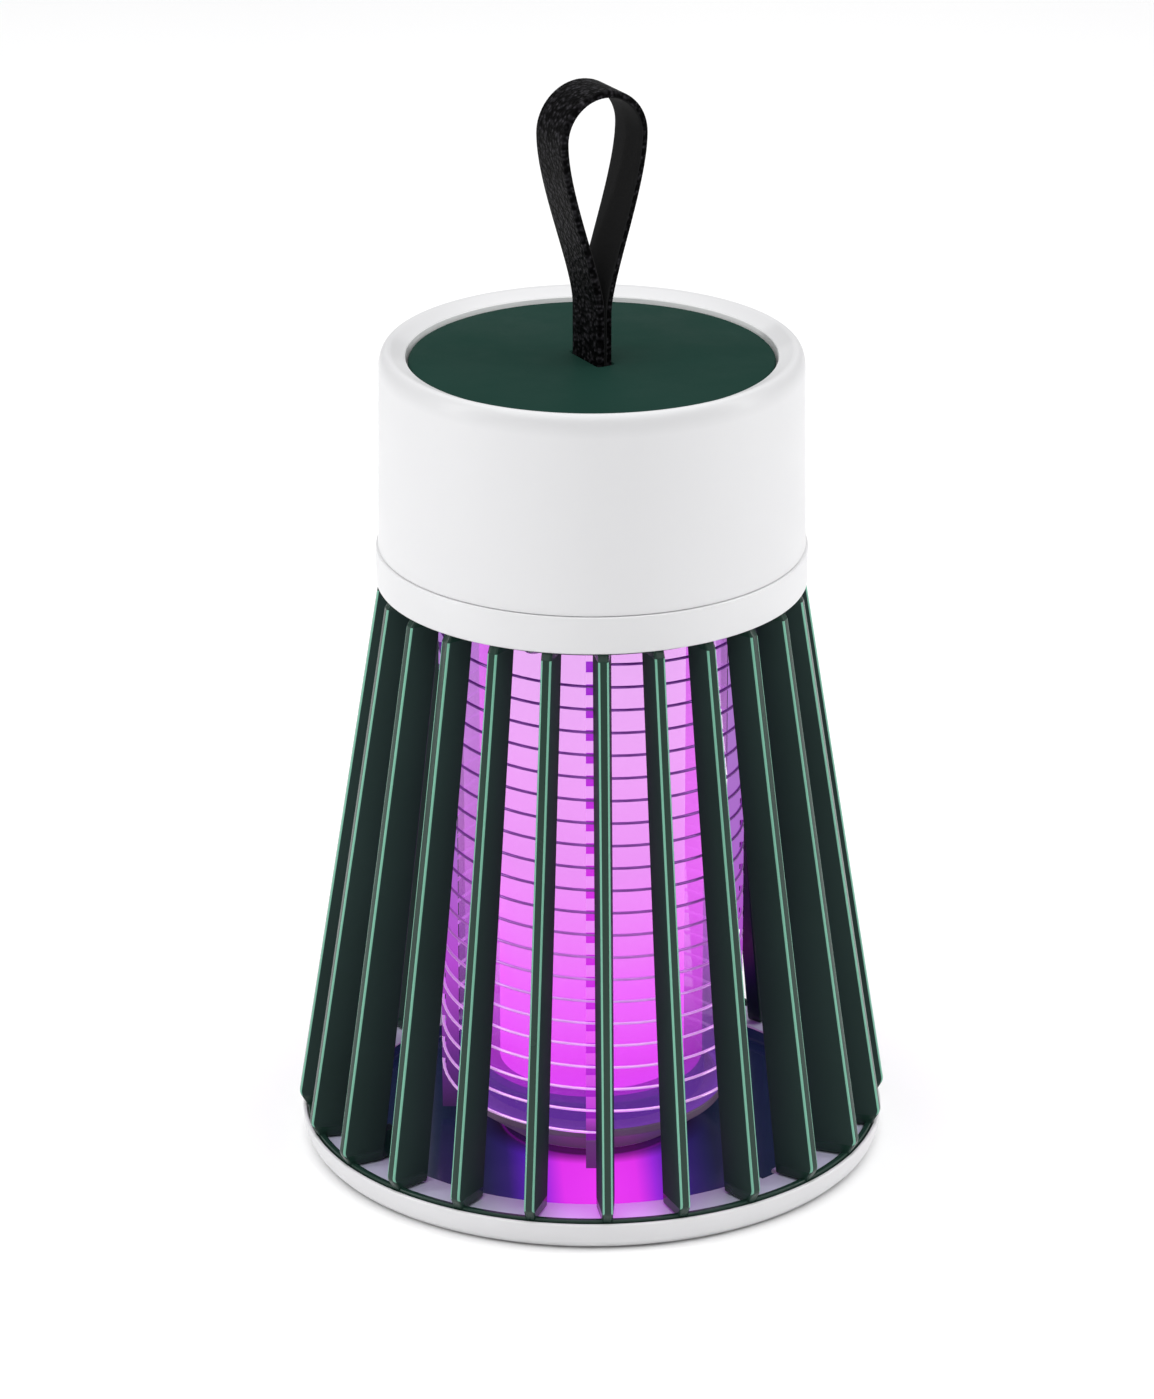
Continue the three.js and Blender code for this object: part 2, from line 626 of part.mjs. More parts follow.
function lidPart() {
  const bottom = LID_TOP - LID_THICKNESS;
  const bevel = 0.6;
  const disc = revolve([
    [0, bottom], [LID_RADIUS, bottom], [LID_RADIUS, LID_TOP - bevel],
    [LID_RADIUS - bevel, LID_TOP], [0, LID_TOP],
  ]);
  const slotHalfWidth = STRAP_WIDTH / 2 + GAP;
  const slotHalfDepth = STRAP_LAYER + GAP;
  const slot = block(
    [-slotHalfDepth, -slotHalfWidth, bottom - 4],
    [slotHalfDepth, slotHalfWidth, LID_TOP + 1],
  );
  const bosses = [-1, 1].map((side) => (
    pillar(2.6, CLAMP_TOP + 0.2, bottom + 0.5).translate(side * CLAMP_SCREW_OFFSET, 0, 0)
  ));
  const holes = [-1, 1].map((side) => (
    pillar(1.5, CLAMP_TOP - 1, LID_TOP - 1).translate(side * CLAMP_SCREW_OFFSET, 0, 0)
  ));
  const turned = (geometry) => geometry.rotateZ(radians(STRAP_YAW));
  const solid = combine([disc, ...bosses.map(turned)], [turned(slot), ...holes.map(turned)]);
  return part('top_lid', solid, FINISH.lidPlastic);
}

// ------------------------------------------------------------------ carrying strap

// Drop-shaped edge of the loop, from the join up one leg, over the top and down the other.
function addDrop(path, half, halfSpan, join, shoulder) {
  path.lineTo(half, join);
  path.bezierCurveTo(half, join + 8, halfSpan, shoulder - 11.4, halfSpan, shoulder);
  path.absarc(0, shoulder, halfSpan, 0, Math.PI, false);
  path.bezierCurveTo(-halfSpan, shoulder - 11.4, -half, join + 8, -half, join);
}

function strapLoopPart() {
  const shoulder = STRAP_TOP - STRAP_HALF_SPAN;
  const outline = new THREE.Shape();
  outline.absarc(0, STRAP_PIVOT, STRAP_LAYER, Math.PI, 2 * Math.PI, false);
  addDrop(outline, STRAP_LAYER, STRAP_HALF_SPAN, STRAP_JOIN - 3, shoulder);
  const hole = new THREE.Path();
  hole.moveTo(0, STRAP_JOIN);
  addDrop(hole, 0.15, STRAP_HALF_SPAN - STRAP_LAYER, STRAP_JOIN, shoulder);
  outline.holes.push(hole);
  const band = new THREE.ExtrudeGeometry(outline, {
    depth: STRAP_WIDTH,
    bevelEnabled: false,
    curveSegments: 9,
  });
  band.translate(0, 0, -STRAP_WIDTH / 2).rotateX(Math.PI / 2);
  return placed(part('strap_loop', band, FINISH.strapLeather), new THREE.Vector3(), STRAP_YAW);
}

// End of the strap in the lid's slot, spread flat under the lid and held by the clamp plate.
function strapTailPart() {
  const top = STRAP_PIVOT - STRAP_LAYER - GAP;
  const spreadTop = LID_TOP - LID_THICKNESS - 0.2;
  const spread = 8.5;
  const bottom = CLAMP_TOP + 0.2;
  const outline = shapeOf([
    [-spread, bottom], [spread, bottom], [spread, spreadTop], [STRAP_LAYER, spreadTop],
    [STRAP_LAYER, top], [-STRAP_LAYER, top], [-STRAP_LAYER, spreadTop], [-spread, spreadTop],
  ]);
  const tail = new THREE.ExtrudeGeometry(outline, { depth: STRAP_WIDTH, bevelEnabled: false });
  tail.translate(0, 0, -STRAP_WIDTH / 2).rotateX(Math.PI / 2);
  return placed(part('strap_tail', tail, FINISH.strapLeather), new THREE.Vector3(), STRAP_YAW);
}

function strapClampParts() {
  const half = CLAMP_SCREW_OFFSET + 3.2;
  const bottom = CLAMP_TOP - CLAMP_THICKNESS;
  const plate = combine(
    [block([-half, -STRAP_WIDTH / 2, bottom], [half, STRAP_WIDTH / 2, CLAMP_TOP])],
    [-1, 1].map((side) => pillar(1.5, bottom - 1, CLAMP_TOP + 1).translate(side * CLAMP_SCREW_OFFSET, 0, 0)),
  );
  const screws = [-1, 1].map((side, i) => placed(
    part(`clamp_screw_${i + 1}`, screwGeometry(6), FINISH.steel),
    around(CLAMP_SCREW_OFFSET, STRAP_YAW + 90 * side, bottom - 1.7),
  ));
  return [placed(part('strap_clamp', plate, FINISH.steel), new THREE.Vector3(), STRAP_YAW), ...screws];
}

// ------------------------------------------------------------------ controls and electronics

// Cylinder along +Y, from its nearer end to its farther end.
function facingBack(radius, from, to, height, sides) {
  return pillar(radius, from, to, sides).rotateX(-Math.PI / 2).translate(0, 0, height);
}

function controlParts() {
  const flangeBack = 41.7;
  const button = combine([
    facingBack(BUTTON_RADIUS, flangeBack, BUTTON_FACE, BUTTON_HEIGHT, 24),
    facingBack(BUTTON_RADIUS + 1.4, flangeBack, flangeBack + 1, BUTTON_HEIGHT, 24),
  ]);
  const boardFace = 35.3;
  const socket = combine(
    [block([-USB_HALF_WIDTH, 37, USB_BOTTOM], [USB_HALF_WIDTH, 45.2, USB_TOP])],
    [block([-3.8, 39, USB_BOTTOM + 0.5], [3.8, 46, USB_TOP - 0.5])],
  );
  const buttonBoard = block([-10, 34, BOARD_TOP + 0.2], [10, boardFace, 173.5]);
  const tactSwitch = block([-3, boardFace + 0.1, BUTTON_HEIGHT - 3], [3, 40.3, BUTTON_HEIGHT + 3]);
  return groupOf(
    part('power_button', button, FINISH.whitePlastic),
    part('button_board', buttonBoard, FINISH.circuitBoard),
    part('tact_switch', tactSwitch, FINISH.blackPlastic),
    part('status_led', facingBack(1.5, boardFace + 0.1, 39, LENS_HEIGHT, 10), FINISH.ledPackage),
    part('status_lens', facingBack(LENS_RADIUS, 39.3, 45.7, LENS_HEIGHT, 12), FINISH.clearPlastic),
    part('usb_port', socket, FINISH.steel),
  );
}

function controlBoardPart() {
  const disc = pillar(BOARD_RADIUS, BOARD_BOTTOM, BOARD_TOP, 32);
  const tongue = block([-7, 30, BOARD_BOTTOM], [7, 41.2, BOARD_TOP]);
  const holes = BOARD_SCREW_AZIMUTHS.map((azimuth) => (
    movedTo(pillar(1.5, BOARD_BOTTOM - 1, BOARD_TOP + 1), around(BOARD_SCREW_RING, azimuth))
  ));
  return part('control_board', combine([disc, tongue], holes), FINISH.circuitBoard);
}

function batteryParts() {
  const alongX = (geometry) => geometry.rotateY(Math.PI / 2);
  const half = CELL_LENGTH / 2;
  const cell = alongX(revolve([
    [0, -half], [CELL_RADIUS - 0.4, -half], [CELL_RADIUS, 0.4 - half],
    [CELL_RADIUS, half - 1.6], [CELL_RADIUS - 0.8, half - 0.8], [3, half - 0.8], [3, half], [0, half],
  ], 24)).translate(0, 0, CELL_AXIS);
  const cradleHalf = 27;
  const cradleBottom = BOARD_TOP + 0.2;
  const bed = alongX(pillar(CELL_RADIUS + GAP, -cradleHalf - 1, cradleHalf + 1, 24))
    .translate(0, 0, CELL_AXIS);
  const cradle = combine(
    [block([-cradleHalf, -10.4, cradleBottom], [cradleHalf, 10.4, CELL_AXIS - 2])],
    [bed],
  );
  const tab = block([-0.2, -3, cradleBottom], [0.2, 3, CELL_AXIS + 3]);
  const tabs = [-1, 1].map((side, i) => placed(
    part(`battery_tab_${i + 1}`, tab, FINISH.nickel),
    new THREE.Vector3(side * (half + 0.5), 0, 0),
  ));
  return [
    part('battery_cell', cell, FINISH.cellWrap),
    part('battery_cradle', cradle, FINISH.blackPlastic),
    ...tabs,
  ];
}

function highVoltageParts() {
  const bottom = BOARD_TOP + 0.2;
  const core = combine([
    block([-22, 15, bottom], [-8, 27, bottom + 13]),
    block([-23.5, 17.5, bottom + 2.5], [-6.5, 24.5, bottom + 10.5]),
  ]);
  const can = revolve([[0, 0], [4.6, 0], [5, 0.6], [5, 13.4], [4.4, 14], [0, 14]], 16);
  const cans = [new THREE.Vector3(-16, -21, bottom), new THREE.Vector3(13, -22, bottom)];
  const capacitors = cans.map((place, i) => (
    placed(part(`hv_capacitor_${i + 1}`, can, FINISH.cellWrap), place)
  ));
  const leads = LEAD_AZIMUTHS.map((azimuth, i) => {
    const route = new THREE.CatmullRomCurve3([
      around(LEAD_RING, azimuth, BOARD_BOTTOM - 0.3), around(LEAD_RING + 0.8, azimuth + 3, 140),
      around(LEAD_RING + 0.4, azimuth + 2, 136), around(LEAD_RING, azimuth, HEAD_FLOOR_TOP),
      around(LEAD_RING, azimuth, FIN_TOP + 0.2),
    ]);
    return part(`hv_lead_${i + 1}`, bar(route, 1.5, 8, 8), FINISH.copperLead);
  });
  return [part('hv_transformer', core, FINISH.blackPlastic), ...capacitors, ...leads];
}

function electronicsParts() {
  const boardScrewHead = BOARD_TOP + 0.2 + 1.5;
  const boardScrews = BOARD_SCREW_AZIMUTHS.map((azimuth, i) => {
    const mesh = part(`board_screw_${i + 1}`, screwGeometry(7).rotateX(Math.PI), FINISH.steel);
    return placed(mesh, around(BOARD_SCREW_RING, azimuth, boardScrewHead));
  });
  return groupOf(controlBoardPart(), ...batteryParts(), ...highVoltageParts(), ...boardScrews);
}

function headParts() {
  const screwTop = HEAD_BOTTOM + 0.7;
  const screws = HOUSING_SCREW_AZIMUTHS.map((azimuth, i) => {
    const screw = part(`housing_screw_${i + 1}`, screwGeometry(19), FINISH.steel);
    return placed(screw, around(HOUSING_SCREW_RING, azimuth, screwTop));
  });
  return groupOf(
    headBasePart(), upperHousingPart(), lidPart(), strapLoopPart(), strapTailPart(),
    ...strapClampParts(), ...screws,
  );
}

// ------------------------------------------------------------------ the whole object

const bugZapper = groupOf(
  baseParts(), cageParts(), gridParts(), lightParts(), headParts(), controlParts(), electronicsParts(),
);
bugZapper.name = 'bug_zapper';

export default bugZapper;
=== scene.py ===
"""Looks of the electric bug zapper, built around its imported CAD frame."""

import math

import bmesh
import bpy
from mathutils import Matrix, Vector


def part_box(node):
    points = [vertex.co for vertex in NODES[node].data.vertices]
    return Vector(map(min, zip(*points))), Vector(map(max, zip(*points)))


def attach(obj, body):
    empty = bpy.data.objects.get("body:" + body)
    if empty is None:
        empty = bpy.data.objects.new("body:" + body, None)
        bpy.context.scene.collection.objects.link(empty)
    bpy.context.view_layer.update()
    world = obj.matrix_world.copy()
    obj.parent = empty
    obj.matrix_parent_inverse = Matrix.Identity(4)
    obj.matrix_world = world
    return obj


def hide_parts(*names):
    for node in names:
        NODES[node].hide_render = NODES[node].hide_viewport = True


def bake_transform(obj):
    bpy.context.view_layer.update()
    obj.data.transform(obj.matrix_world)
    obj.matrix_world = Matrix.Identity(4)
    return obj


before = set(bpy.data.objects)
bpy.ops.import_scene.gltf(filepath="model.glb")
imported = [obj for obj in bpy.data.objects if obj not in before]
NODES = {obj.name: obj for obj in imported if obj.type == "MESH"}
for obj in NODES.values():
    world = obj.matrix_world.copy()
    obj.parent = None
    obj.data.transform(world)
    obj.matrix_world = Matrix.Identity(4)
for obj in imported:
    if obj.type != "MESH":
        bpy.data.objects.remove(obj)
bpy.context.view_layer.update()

MM = 0.001
SIDES = 192                    # round the large mouldings
SMALL_SIDES = 48               # round bosses, screws and pads


# ---------------------------------------------------------------- sizes read from the frame


def foot_of(node):
    """Height of a CAD node's lowest point, in millimetres."""
    return round(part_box(node)[0][2] / MM, 3)


def top_of(node):
    """Height of a CAD node's highest point, in millimetres."""
    return round(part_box(node)[1][2] / MM, 3)


def radius_of(node):
    """Distance of a CAD node's furthest point from the object's axis, in millimetres."""
    return round(max(math.hypot(v.co.x, v.co.y) for v in NODES[node].data.vertices) / MM, 3)


# ---------------------------------------------------------------- geometry, in millimetres


def around(radius, azimuth, z=0.0):
    """A point at a distance from the axis; azimuths run from the front towards +X."""
    a = math.radians(azimuth)
    return Vector((radius * math.sin(a), -radius * math.cos(a), z))


def radial_frame(azimuth):
    """Takes x to the radius, y to the vertical and z across, for a plate in an azimuth's plane."""
    a = math.radians(azimuth)
    out, across = Vector((math.sin(a), -math.cos(a), 0)), Vector((math.cos(a), math.sin(a), 0))
    return Matrix((
        (out.x, 0, across.x, 0),
        (out.y, 0, across.y, 0),
        (0, 1, 0, 0),
        (0, 0, 0, 1),
    ))


def rounded(points, steps=4, closed=True):
    """Outline with each corner (x, y, radius) turned into an arc of that radius."""
    made = []
    count = len(points)
    for i, point in enumerate(points):
        here = Vector(point[:2])
        radius = point[2] if len(point) > 2 else 0
        if radius <= 0 or (not closed and i in (0, count - 1)):
            made.append(tuple(here))
            continue
        back = Vector(points[i - 1][:2]) - here
        on = Vector(points[(i + 1) % count][:2]) - here
        half = back.angle(on) / 2
        reach = min(radius / math.tan(half), back.length * 0.48, on.length * 0.48)
        radius = reach * math.tan(half)
        centre = here + (back.normalized() + on.normalized()).normalized() * radius / math.sin(half)
        start, end = here + back.normalized() * reach - centre, here + on.normalized() * reach - centre
        turn = start.angle_signed(end)
        for k in range(steps + 1):
            a = -turn * k / steps
            made.append((
                centre.x + start.x * math.cos(a) - start.y * math.sin(a),
                centre.y + start.x * math.sin(a) + start.y * math.cos(a),
            ))
    return made


def linked(name, data):
    """A new object in the scene."""
    made = bpy.data.objects.new(name, data)
    bpy.context.scene.collection.objects.link(made)
    return made


def mesh_of(name, verts, faces):
    """Object from corners and faces, turned to face outwards."""
    mesh = bpy.data.meshes.new(name)
    mesh.from_pydata([tuple(v) for v in verts], [], faces)
    made = linked(name, mesh)
    shell = bmesh.new()
    shell.from_mesh(mesh)
    if shell.calc_volume(signed=True) < 0:
        bmesh.ops.reverse_faces(shell, faces=shell.faces)
    shell.to_mesh(mesh)
    shell.free()
    return made


def lathe(profile, sides=SIDES):
    """Closed body of revolution from [radius, z] points: a loop, or a line from axis to axis."""
    verts, rings = [], []
    for radius, z in profile:
        if radius < 1e-6:
            rings.append([len(verts)] * sides)
            verts.append((0, 0, z))
        else:
            rings.append(list(range(len(verts), len(verts) + sides)))
            verts += [around(radius, 360 * k / sides, z) for k in range(sides)]
    on_axis = profile[0][0] < 1e-6
    faces = []
    for a, b in zip(rings, rings[1:] if on_axis else rings[1:] + rings[:1]):
        for k in range(sides):
            corners = [a[k], a[(k + 1) % sides], b[(k + 1) % sides], b[k]]
            face = [c for i, c in enumerate(corners) if c not in corners[:i]]
            if len(face) > 2:
                faces.append(face)
    return mesh_of("lathe", verts, faces)


def loft(sections):
    """Closed body through rings of points, with flat ends."""
    count = len(sections[0])
    verts = [p for ring in sections for p in ring]
    faces = [list(range(count)), [len(verts) - count + k for k in range(count)]]
    faces[0].reverse()
    for row in range(len(sections) - 1):
        a, b = row * count, (row + 1) * count
        for k in range(count):
            on = (k + 1) % count
            faces.append([a + k, a + on, b + on, b + k])
    return mesh_of("loft", verts, faces)


def slab(outline, low, high, place=Matrix.Identity(4)):
    """Outline in x and y, drawn out along z, then put in place."""
    return loft([[place @ Vector((x, y, z)) for x, y in outline] for z in (low, high)])


def moved(piece, matrix):
    """piece with its own points turned and shifted."""
    piece.data.transform(matrix)
    return piece


def pillar(radius, bottom, top, at=Vector()):
    """Upright cylinder between two heights, over a point."""
    made = lathe([(0, bottom), (radius, bottom), (radius, top), (0, top)], SMALL_SIDES)
    return moved(made, Matrix.Translation(at))


def block(low, high):
    """Box between two corners."""
    low, high = Vector(low), Vector(high)
    shell = bmesh.new()
    bmesh.ops.create_cube(shell, size=1)
    bmesh.ops.scale(shell, vec=high - low, verts=shell.verts)
    bmesh.ops.translate(shell, vec=(low + high) / 2, verts=shell.verts)
    mesh = bpy.data.meshes.new("block")
    shell.to_mesh(mesh)
    shell.free()
    return linked("block", mesh)


def joined(pieces):
    """One object from several, whose bodies stay apart."""
    shell = bmesh.new()
    for piece in pieces:
        shell.from_mesh(piece.data)
    first = pieces[0]
    shell.to_mesh(first.data)
    shell.free()
    for piece in pieces[1:]:
        bpy.data.objects.remove(piece)
    return first


def boolean(piece, other, operation):
    """piece with another body added or cut away, the other one used up."""
    step = piece.modifiers.new("combine", "BOOLEAN")
    step.object, step.operation, step.solver = other, operation, "MANIFOLD"
    ready = piece.evaluated_get(bpy.context.evaluated_depsgraph_get())
    mesh = bpy.data.meshes.new_from_object(ready)
    piece.modifiers.clear()
    piece.data = mesh
    bpy.data.objects.remove(other)
    return piece


def add(piece, *others):
    return boolean(piece, joined(list(others)), "UNION")


def cut(piece, *others):
    return boolean(piece, joined(list(others)), "DIFFERENCE")


def soften(piece, angle):
    """Smooth shading, with the edges sharper than an angle kept crisp."""
    shell = bmesh.new()
    shell.from_mesh(piece.data)
    for face in shell.faces:
        face.smooth = True
    for edge in shell.edges:
        edge.smooth = len(edge.link_faces) == 2 and edge.calc_face_angle(0) < math.radians(angle)
    shell.to_mesh(piece.data)
    shell.free()


def hand_in(piece, name, body, nodes, slot, *finishes, angle=32):
    """Scales a finished piece to metres, names it, ties it to its body and hides the CAD nodes it
    stands in for; its slot is not used.

    Its edges sharper than an angle, in degrees, stay crisp."""
    piece.name = piece.data.name = name
    piece.data.transform(Matrix.Scale(MM, 4))
    soften(piece, angle)
    piece.data.materials.clear()
    for finish in finishes:
        piece.data.materials.append(finish)
    if body:
        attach(piece, body)
    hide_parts(*nodes)


def paint(piece, choose):
    """Gives each face the number of its finish, from its middle and its distance from the axis."""
    for face in piece.data.polygons:
        centre = face.center / MM
        face.material_index = int(choose(face, centre, math.hypot(centre.x, centre.y)))


# ---------------------------------------------------------------- materials


POOL_REACH = 40.0              # from the middle plane to the end of the light on the tray


class Nodes:
    """A material's node tree, with its Principled shader and short ways to feed it."""

    def __init__(self, name, **sockets):
        self.material = bpy.data.materials.new(name)
        self.material.use_nodes = True
        self.tree = self.material.node_tree
        self.tree.nodes.clear()
        self.shader = self.make("ShaderNodeBsdfPrincipled")
        output = self.make("ShaderNodeOutputMaterial")
        self.link(self.shader.outputs[0], output.inputs["Surface"])
        for socket, value in sockets.items():
            self.shader.inputs[socket.replace("_", " ")].default_value = value
        self.place = self.make("ShaderNodeTexCoord").outputs["Object"]

    def make(self, kind, **settings):
        node = self.tree.nodes.new(kind)
        for name, value in settings.items():
            setattr(node, name, value)
        return node

    def link(self, a, b):
        self.tree.links.new(a, b)

    def to(self, socket, value):
        self.link(value, self.shader.inputs[socket])

    def noise(self, scale, detail=3.0, roughness=0.5, place=None):
        node = self.make("ShaderNodeTexNoise")
        node.inputs["Scale"].default_value = scale
        node.inputs["Detail"].default_value = detail
        node.inputs["Roughness"].default_value = roughness
        self.link(place or self.place, node.inputs["Vector"])
        return node.outputs["Fac"]

    def cells(self, scale, feature, place, randomness):
        node = self.make("ShaderNodeTexVoronoi", feature=feature)
        node.inputs["Scale"].default_value = scale
        node.inputs["Randomness"].default_value = randomness
        self.link(place or self.place, node.inputs["Vector"])
        return node.outputs["Distance"]

    def ramp(self, value, *stops):
        """Colour by value: stops are (position, colour)."""
        node = self.make("ShaderNodeValToRGB")
        elements = node.color_ramp.elements
        while len(elements) < len(stops):
            elements.new(0.5)
        for element, (position, colour) in zip(elements, stops):
            element.position = position
            element.color = (*colour, 1)
        self.link(value, node.inputs["Fac"])
        return node.outputs["Color"]

    def span(self, value, low, high, start=0.0, end=1.0):
        """A value's way from start to end, turned into low to high."""
        node = self.make("ShaderNodeMapRange")
        for name, number in (("From Min", start), ("From Max", end), ("To Min", low), ("To Max", high)):
            node.inputs[name].default_value = number
        self.link(value, node.inputs["Value"])
        return node.outputs["Result"]

    def math(self, operation, a, b):
        node = self.make("ShaderNodeMath", operation=operation)
        for socket, value in zip(node.inputs, (a, b)):
            if isinstance(value, (int, float)):
                socket.default_value = value
            else:
                self.link(value, socket)
        return node.outputs[0]

    def axis(self, name):
        node = self.make("ShaderNodeSeparateXYZ")
        self.link(self.place, node.inputs[0])
        return node.outputs[name]

    def radius(self):
        """Distance from the object's axis."""
        x, y = self.axis("X"), self.axis("Y")
        total = self.math("ADD", self.math("MULTIPLY", x, x), self.math("MULTIPLY", y, y))
        return self.math("SQRT", total, 0.0)

    def sideways(self):
        """0 on the object's middle plane, 1 where the lamp's pool of light on the tray ends."""
        return self.span(self.math("ABSOLUTE", self.axis("X"), 0.0), 0, 1, 0, POOL_REACH * MM)

    def bump(self, height, strength, relief):
        """Raises the surface by up to a relief in millimetres."""
        node = self.make("ShaderNodeBump")
        node.inputs["Strength"].default_value = strength
        node.inputs["Distance"].default_value = relief * MM
        self.link(height, node.inputs["Height"])
        self.to("Normal", node.outputs["Normal"])


def shaded(colour, factor):
    """colour made darker or lighter."""
    return tuple(c * factor for c in colour)


def moulded(made, roughness, grain, relief, strength):
    """Gives a plastic its fine spark-eroded grain and slow changes of gloss."""
    made.to("Roughness", made.span(made.noise(70, 4), roughness * 0.85, roughness * 1.15, 0.3, 0.7))
    made.bump(made.noise(grain, 2), strength, relief)
    return made.material


def plastic(name, colour, roughness, grain=2600, relief=0.03, strength=0.25, vary=0.04, **sockets):
    """Moulded plastic with slow changes of tone."""
    made = Nodes(name, **sockets)
    made.to("Base Color", made.ramp(
        made.noise(18, 2), (0.3, shaded(colour, 1 - vary)), (0.7, shaded(colour, 1 + vary)),
    ))
    return moulded(made, roughness, grain, relief, strength)


def height_ramp(made, *stops):
    """Colour by height in millimetres above the table."""
    low, high = stops[0][0], stops[-1][0]
    height = made.span(made.axis("Z"), 0, 1, low * MM, high * MM)
    return made.ramp(height, *[((z - low) / (high - low), colour) for z, colour in stops])


def head_plastic_painted_shade(name):
    """The head's white plastic, painted darker towards its rim as painted shade."""
    made = Nodes(name, Coat_Weight=0.08, Coat_Roughness=0.2)
    made.to("Base Color", height_ramp(
        made, (178.0, (0.70, 0.70, 0.71)), (182.4, (0.585, 0.585, 0.595)),
    ))
    return moulded(made, 0.36, 2600, 0.03, 0.25)


def metal(name, colour, roughness):
    """Plated metal, finely mottled."""
    made = Nodes(name, Metallic=1.0)
    made.to("Base Color", made.ramp(made.noise(120, 3), (0.3, shaded(colour, 0.88)), (0.7, colour)))
    made.to("Roughness", made.span(made.noise(400, 3), roughness * 0.7, roughness * 1.3, 0.3, 0.7))
    made.bump(made.noise(900, 2), 0.15, 0.02)
    return made.material


def glow(name, strength, base, *stops, **sockets):
    """Frosted plastic with emission by height: the lamp's own light on its tube and sleeve, and painted
    light on the parts near it.
    """
    made = Nodes(name, **{"Roughness": 0.4, "Specular_IOR_Level": 0.2, **sockets})
    made.shader.inputs["Emission Strength"].default_value = strength
    made.to("Base Color", made.ramp(made.noise(90, 3), (0.3, shaded(base, 0.9)), (0.7, base)))
    made.to("Emission Color", height_ramp(made, *stops))
    made.bump(made.noise(1500, 2), 0.12, 0.03)
    return made.material


def dish_plastic(name):
    """Glossy dark blue dish, with a painted pool of the lamp's light before and behind it, and painted
    shadow round the grid's foot.
    """
    made = Nodes(name, Roughness=0.16, Specular_IOR_Level=0.5)
    across = made.sideways()
    made.to("Base Color", made.ramp(across, (0.15, (0.10, 0.01, 0.14)), (0.6, (0.012, 0.016, 0.04))))
    made.to("Emission Color", made.ramp(
        across, (0.0, (0.82, 0.04, 0.86)), (0.2, (0.74, 0.03, 0.82)), (0.30, (0.30, 0.016, 0.68)),
        (0.38, (0.07, 0.008, 0.40)), (0.5, (0.010, 0.007, 0.10)), (0.65, (0.003, 0.006, 0.022)),
    ))
    # Painted shadow: the pool's glow fades out between 26.5 and 21.5 mm from the axis, round the grid's
    # foot.
    made.to("Emission Strength", made.span(made.radius(), 0.05, 0.95, 21.5 * MM, 26.5 * MM))
    made.bump(made.noise(900, 2), 0.1, 0.03)
    return made.material


def ledge_plastic(name):
    """The tray's white plastic in the shade of the fins, tinted where the lamp's light falls."""
    made = Nodes(name, Roughness=0.4, Specular_IOR_Level=0.3)
    across = made.sideways()
    tone = made.noise(18, 2)
    made.to("Base Color", made.ramp(tone, (0.3, (0.52, 0.55, 0.66)), (0.7, (0.55, 0.58, 0.69))))
    made.to("Emission Color", made.ramp(
        across, (0.0, (0.42, 0.02, 0.52)), (0.2, (0.36, 0.015, 0.46)), (0.42, (0.05, 0.0, 0.09)),
        (0.6, (0.0, 0.0, 0.0)),
    ))
    made.shader.inputs["Emission Strength"].default_value = 1.0
    made.bump(made.noise(1900, 2), 0.2, 0.03)
    return made.material


def lit_wire(name):
    """Drawn steel wire, tinted by the lamp and brightest near its foot."""
    made = Nodes(name, Metallic=1.0, Roughness=0.36)
    made.shader.inputs["Emission Strength"].default_value = 0.5
    made.to("Base Color", height_ramp(
        made, (12.0, (0.80, 0.55, 0.86)), (42.0, (0.60, 0.32, 0.70)), (64.0, (0.26, 0.10, 0.36)),
        (127.0, (0.22, 0.08, 0.34)),
    ))
    made.to("Emission Color", height_ramp(
        made, (12.0, (0.78, 0.42, 0.88)), (38.0, (0.72, 0.30, 0.84)), (52.0, (0.40, 0.08, 0.50)),
        (70.0, (0.10, 0.01, 0.16)), (127.0, (0.06, 0.005, 0.12)),
    ))
    made.bump(made.noise(900, 2), 0.15, 0.02)
    return made.material


def leather(name, colour, cell, relief, roughness, painted_shading):
    """Embossed leather along the strap: rounded pebbles with their tops painted lighter as painted
    glints and the creases between painted darker as painted shade.
    """
    made = Nodes(name, Specular_IOR_Level=0.02)
    place = made.make("ShaderNodeTexCoord").outputs["UV"]
    pebbles = made.cells(cell, "SMOOTH_F1", place, 0.8)
    fine = made.noise(cell * 3, 4, 0.6, place)
    made.to("Base Color", made.ramp(
        pebbles, (0.0, shaded(colour, 1 + 3 * painted_shading)), (0.3, colour),
        (0.5, shaded(colour, 1 - painted_shading)),
    ))
    made.to("Roughness", made.span(fine, roughness - 0.1, roughness + 0.12, 0.3, 0.7))
    height = made.math("ADD", made.math("MULTIPLY", pebbles, -1.0), made.math("MULTIPLY", fine, 0.25))
    made.bump(height, 0.9, relief)
    return made.material


def board_finish(name):
    """Solder mask over copper: traces and pads a shade lighter, ground flood between."""
    made = Nodes(name, Roughness=0.35, Coat_Weight=0.3)
    traces = made.cells(260, "DISTANCE_TO_EDGE", None, 0.4)
    made.to("Base Color", made.ramp(
        traces, (0.0, (0.05, 0.30, 0.12)), (0.06, (0.05, 0.30, 0.12)), (0.09, (0.010, 0.10, 0.04)),
        (1.0, (0.012, 0.12, 0.05)),
    ))
    made.bump(traces, 0.3, 0.04)
    return made.material


def wrap(name, colour, grain):
    """Shrink wrap: glossy and faintly uneven."""
    made = Nodes(name, Coat_Weight=0.4, Coat_Roughness=0.15)
    ripple = made.noise(grain, 3)
    made.to("Base Color", made.ramp(ripple, (0.3, shaded(colour, 0.85)), (0.7, colour)))
    made.to("Roughness", made.span(made.noise(220, 3), 0.25, 0.42, 0.3, 0.7))
    made.bump(ripple, 0.2, 0.08)
    return made.material


